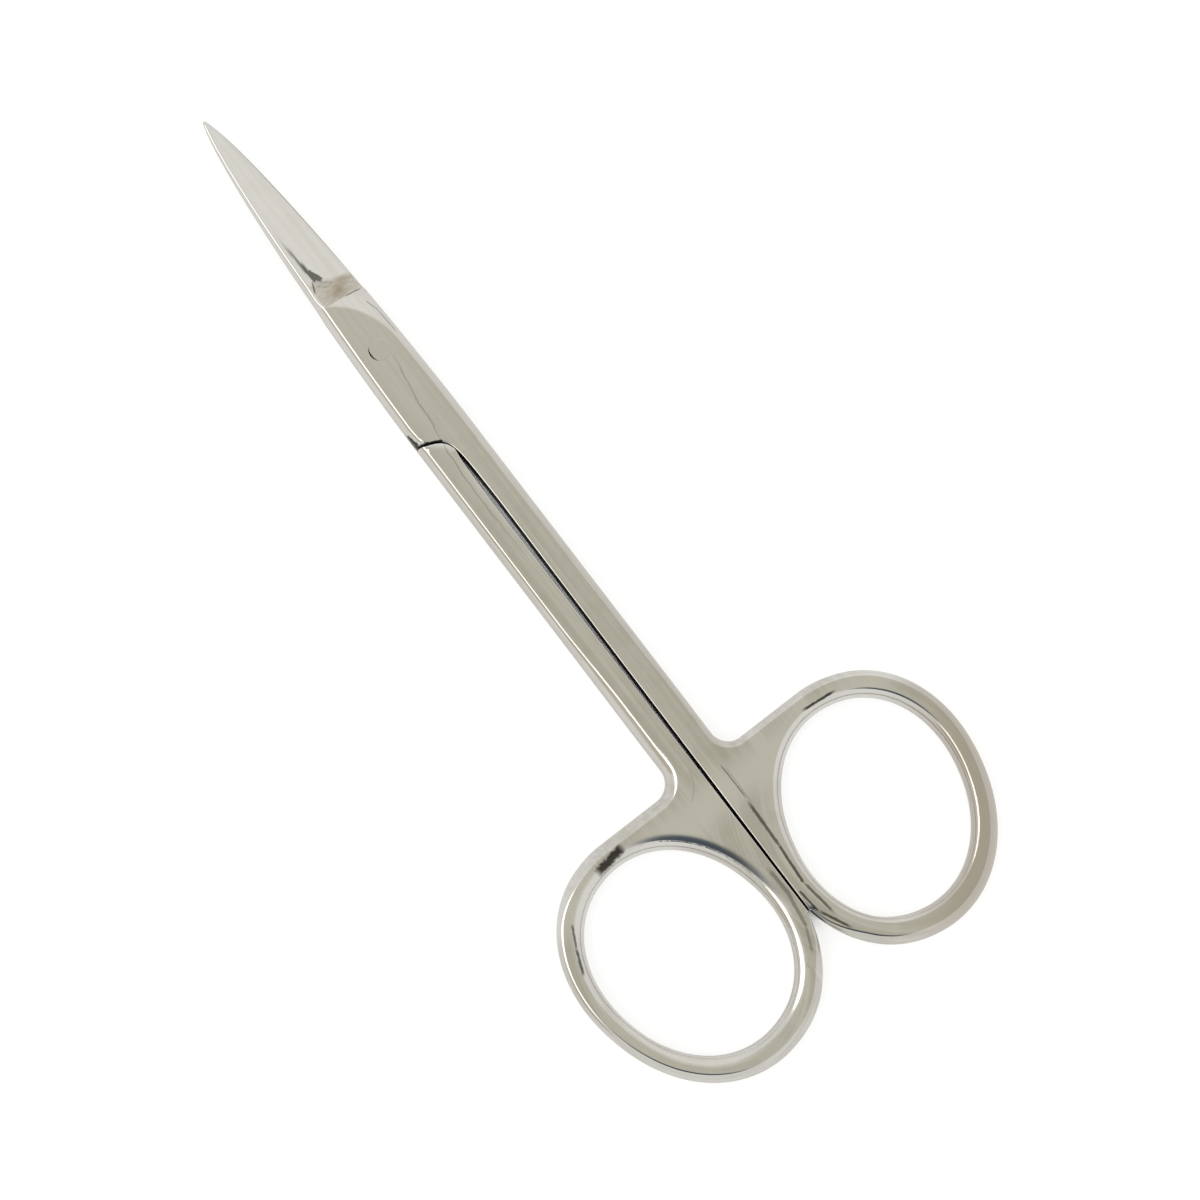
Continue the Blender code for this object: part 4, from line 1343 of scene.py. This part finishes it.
# Painted shade: ambient occlusion turns the sheet's colour nearly black and takes its glow away in the slot
# and close round the scissors.
open_air = add_node(tree, "ShaderNodeAmbientOcclusion", (("Distance", 0.0028),), samples=8)
lit = ramp(tree, open_air.outputs["AO"], *OPEN_SHEET)
glow = times(tree, maths(tree, "ADD", seen, mirrored, clamp=True), lit)
tree.links.new(mixed(tree, lit, SHEET_SHADE_IN_SLOT, SHEET), sheet_shader.inputs["Base Color"])
tree.links.new(glow, sheet_shader.inputs["Emission Strength"])
floor.data.materials.append(paper)

# %% Camera
DISTANCE = 0.35
VIEW_WIDTH = 0.1263
FILM_WIDTH = 36.0
LOOK_AT = Vector((0.00775, 0.00256, 0.0016))
PHOTO_RIGHT = Vector((0.6056, 0.7958, 0.0))
LEAN = 0.106
back = (Vector((0.0, -LEAN, 1.0))).normalized()
right = (PHOTO_RIGHT - PHOTO_RIGHT.dot(back) * back).normalized()
turned = Matrix((right, back.cross(right), back)).transposed().to_4x4()
camera_data = bpy.data.cameras.new("camera")
camera_data.sensor_width = FILM_WIDTH
camera_data.lens = FILM_WIDTH * DISTANCE / VIEW_WIDTH
camera_data.clip_start = 0.01
camera = bpy.data.objects.new("camera", camera_data)
camera.matrix_world = Matrix.Translation(LOOK_AT + DISTANCE * back) @ turned
bpy.context.scene.collection.objects.link(camera)
bpy.context.scene.camera = camera

# %% Light
# Each patch of the room: its angle off the zenith and its azimuth, the angles from its middle where it
# begins to fade and where it has gone, all in degrees, and its colour. Later ones lie over earlier ones.
WALLS = (0.88, 0.88, 0.865, 1.0)
LAMP = (2.6, 2.6, 2.5, 1.0)
ROOM = {
    "grey overhead": (7.0, 90.0, 16.0, 30.0, (0.655, 0.645, 0.565, 1.0)),
    "window": (36.0, 128.0, 14.0, 24.0, (0.93, 0.93, 0.90, 1.0)),
    "cream wall": (66.0, -90.0, 10.0, 18.0, (0.66, 0.60, 0.50, 1.0)),
    "dark side": (29.0, -37.3, 9.0, 18.0, (0.075, 0.095, 0.12, 1.0)),
    "lamp over the rings": (34.0, -90.0, 9.0, 12.0, LAMP),
    "lamp over the blades": (36.0, -122.0, 17.0, 20.0, LAMP),
}


def towards(tilt, azimuth):
    """A direction, from its angle off the zenith and its azimuth from +X towards +Y, in degrees."""
    tilt, azimuth = math.radians(tilt), math.radians(azimuth)
    return (math.sin(tilt) * math.cos(azimuth), math.sin(tilt) * math.sin(azimuth), math.cos(tilt))


def patch(tree, direction, tilt, azimuth, inner, outer):
    """1 within the inner angle from a direction, falling to 0 at the outer one, in degrees."""
    product = vectors(tree, "DOT_PRODUCT", direction, towards(tilt, azimuth), 1)
    return ramp(tree, product, math.cos(math.radians(outer)), math.cos(math.radians(inner)))


world = bpy.data.worlds.new("white room")
bpy.context.scene.world = world
world.use_nodes = True
sky = world.node_tree
way_out = sky.nodes.new("ShaderNodeTexCoord").outputs["Generated"]
room = WALLS
for tilt, azimuth, inner, outer, paint in ROOM.values():
    room = mixed(sky, patch(sky, way_out, tilt, azimuth, inner, outer), room, paint)
ray = sky.nodes.new("ShaderNodeLightPath")
seen = mixed(sky, ray.outputs["Is Camera Ray"], room, (1.0, 1.0, 1.0, 1.0))
sky.links.new(seen, sky.nodes["Background"].inputs["Color"])
bpy.context.scene.view_settings.view_transform = "Standard"
print("patches of the room:", ", ".join(ROOM))
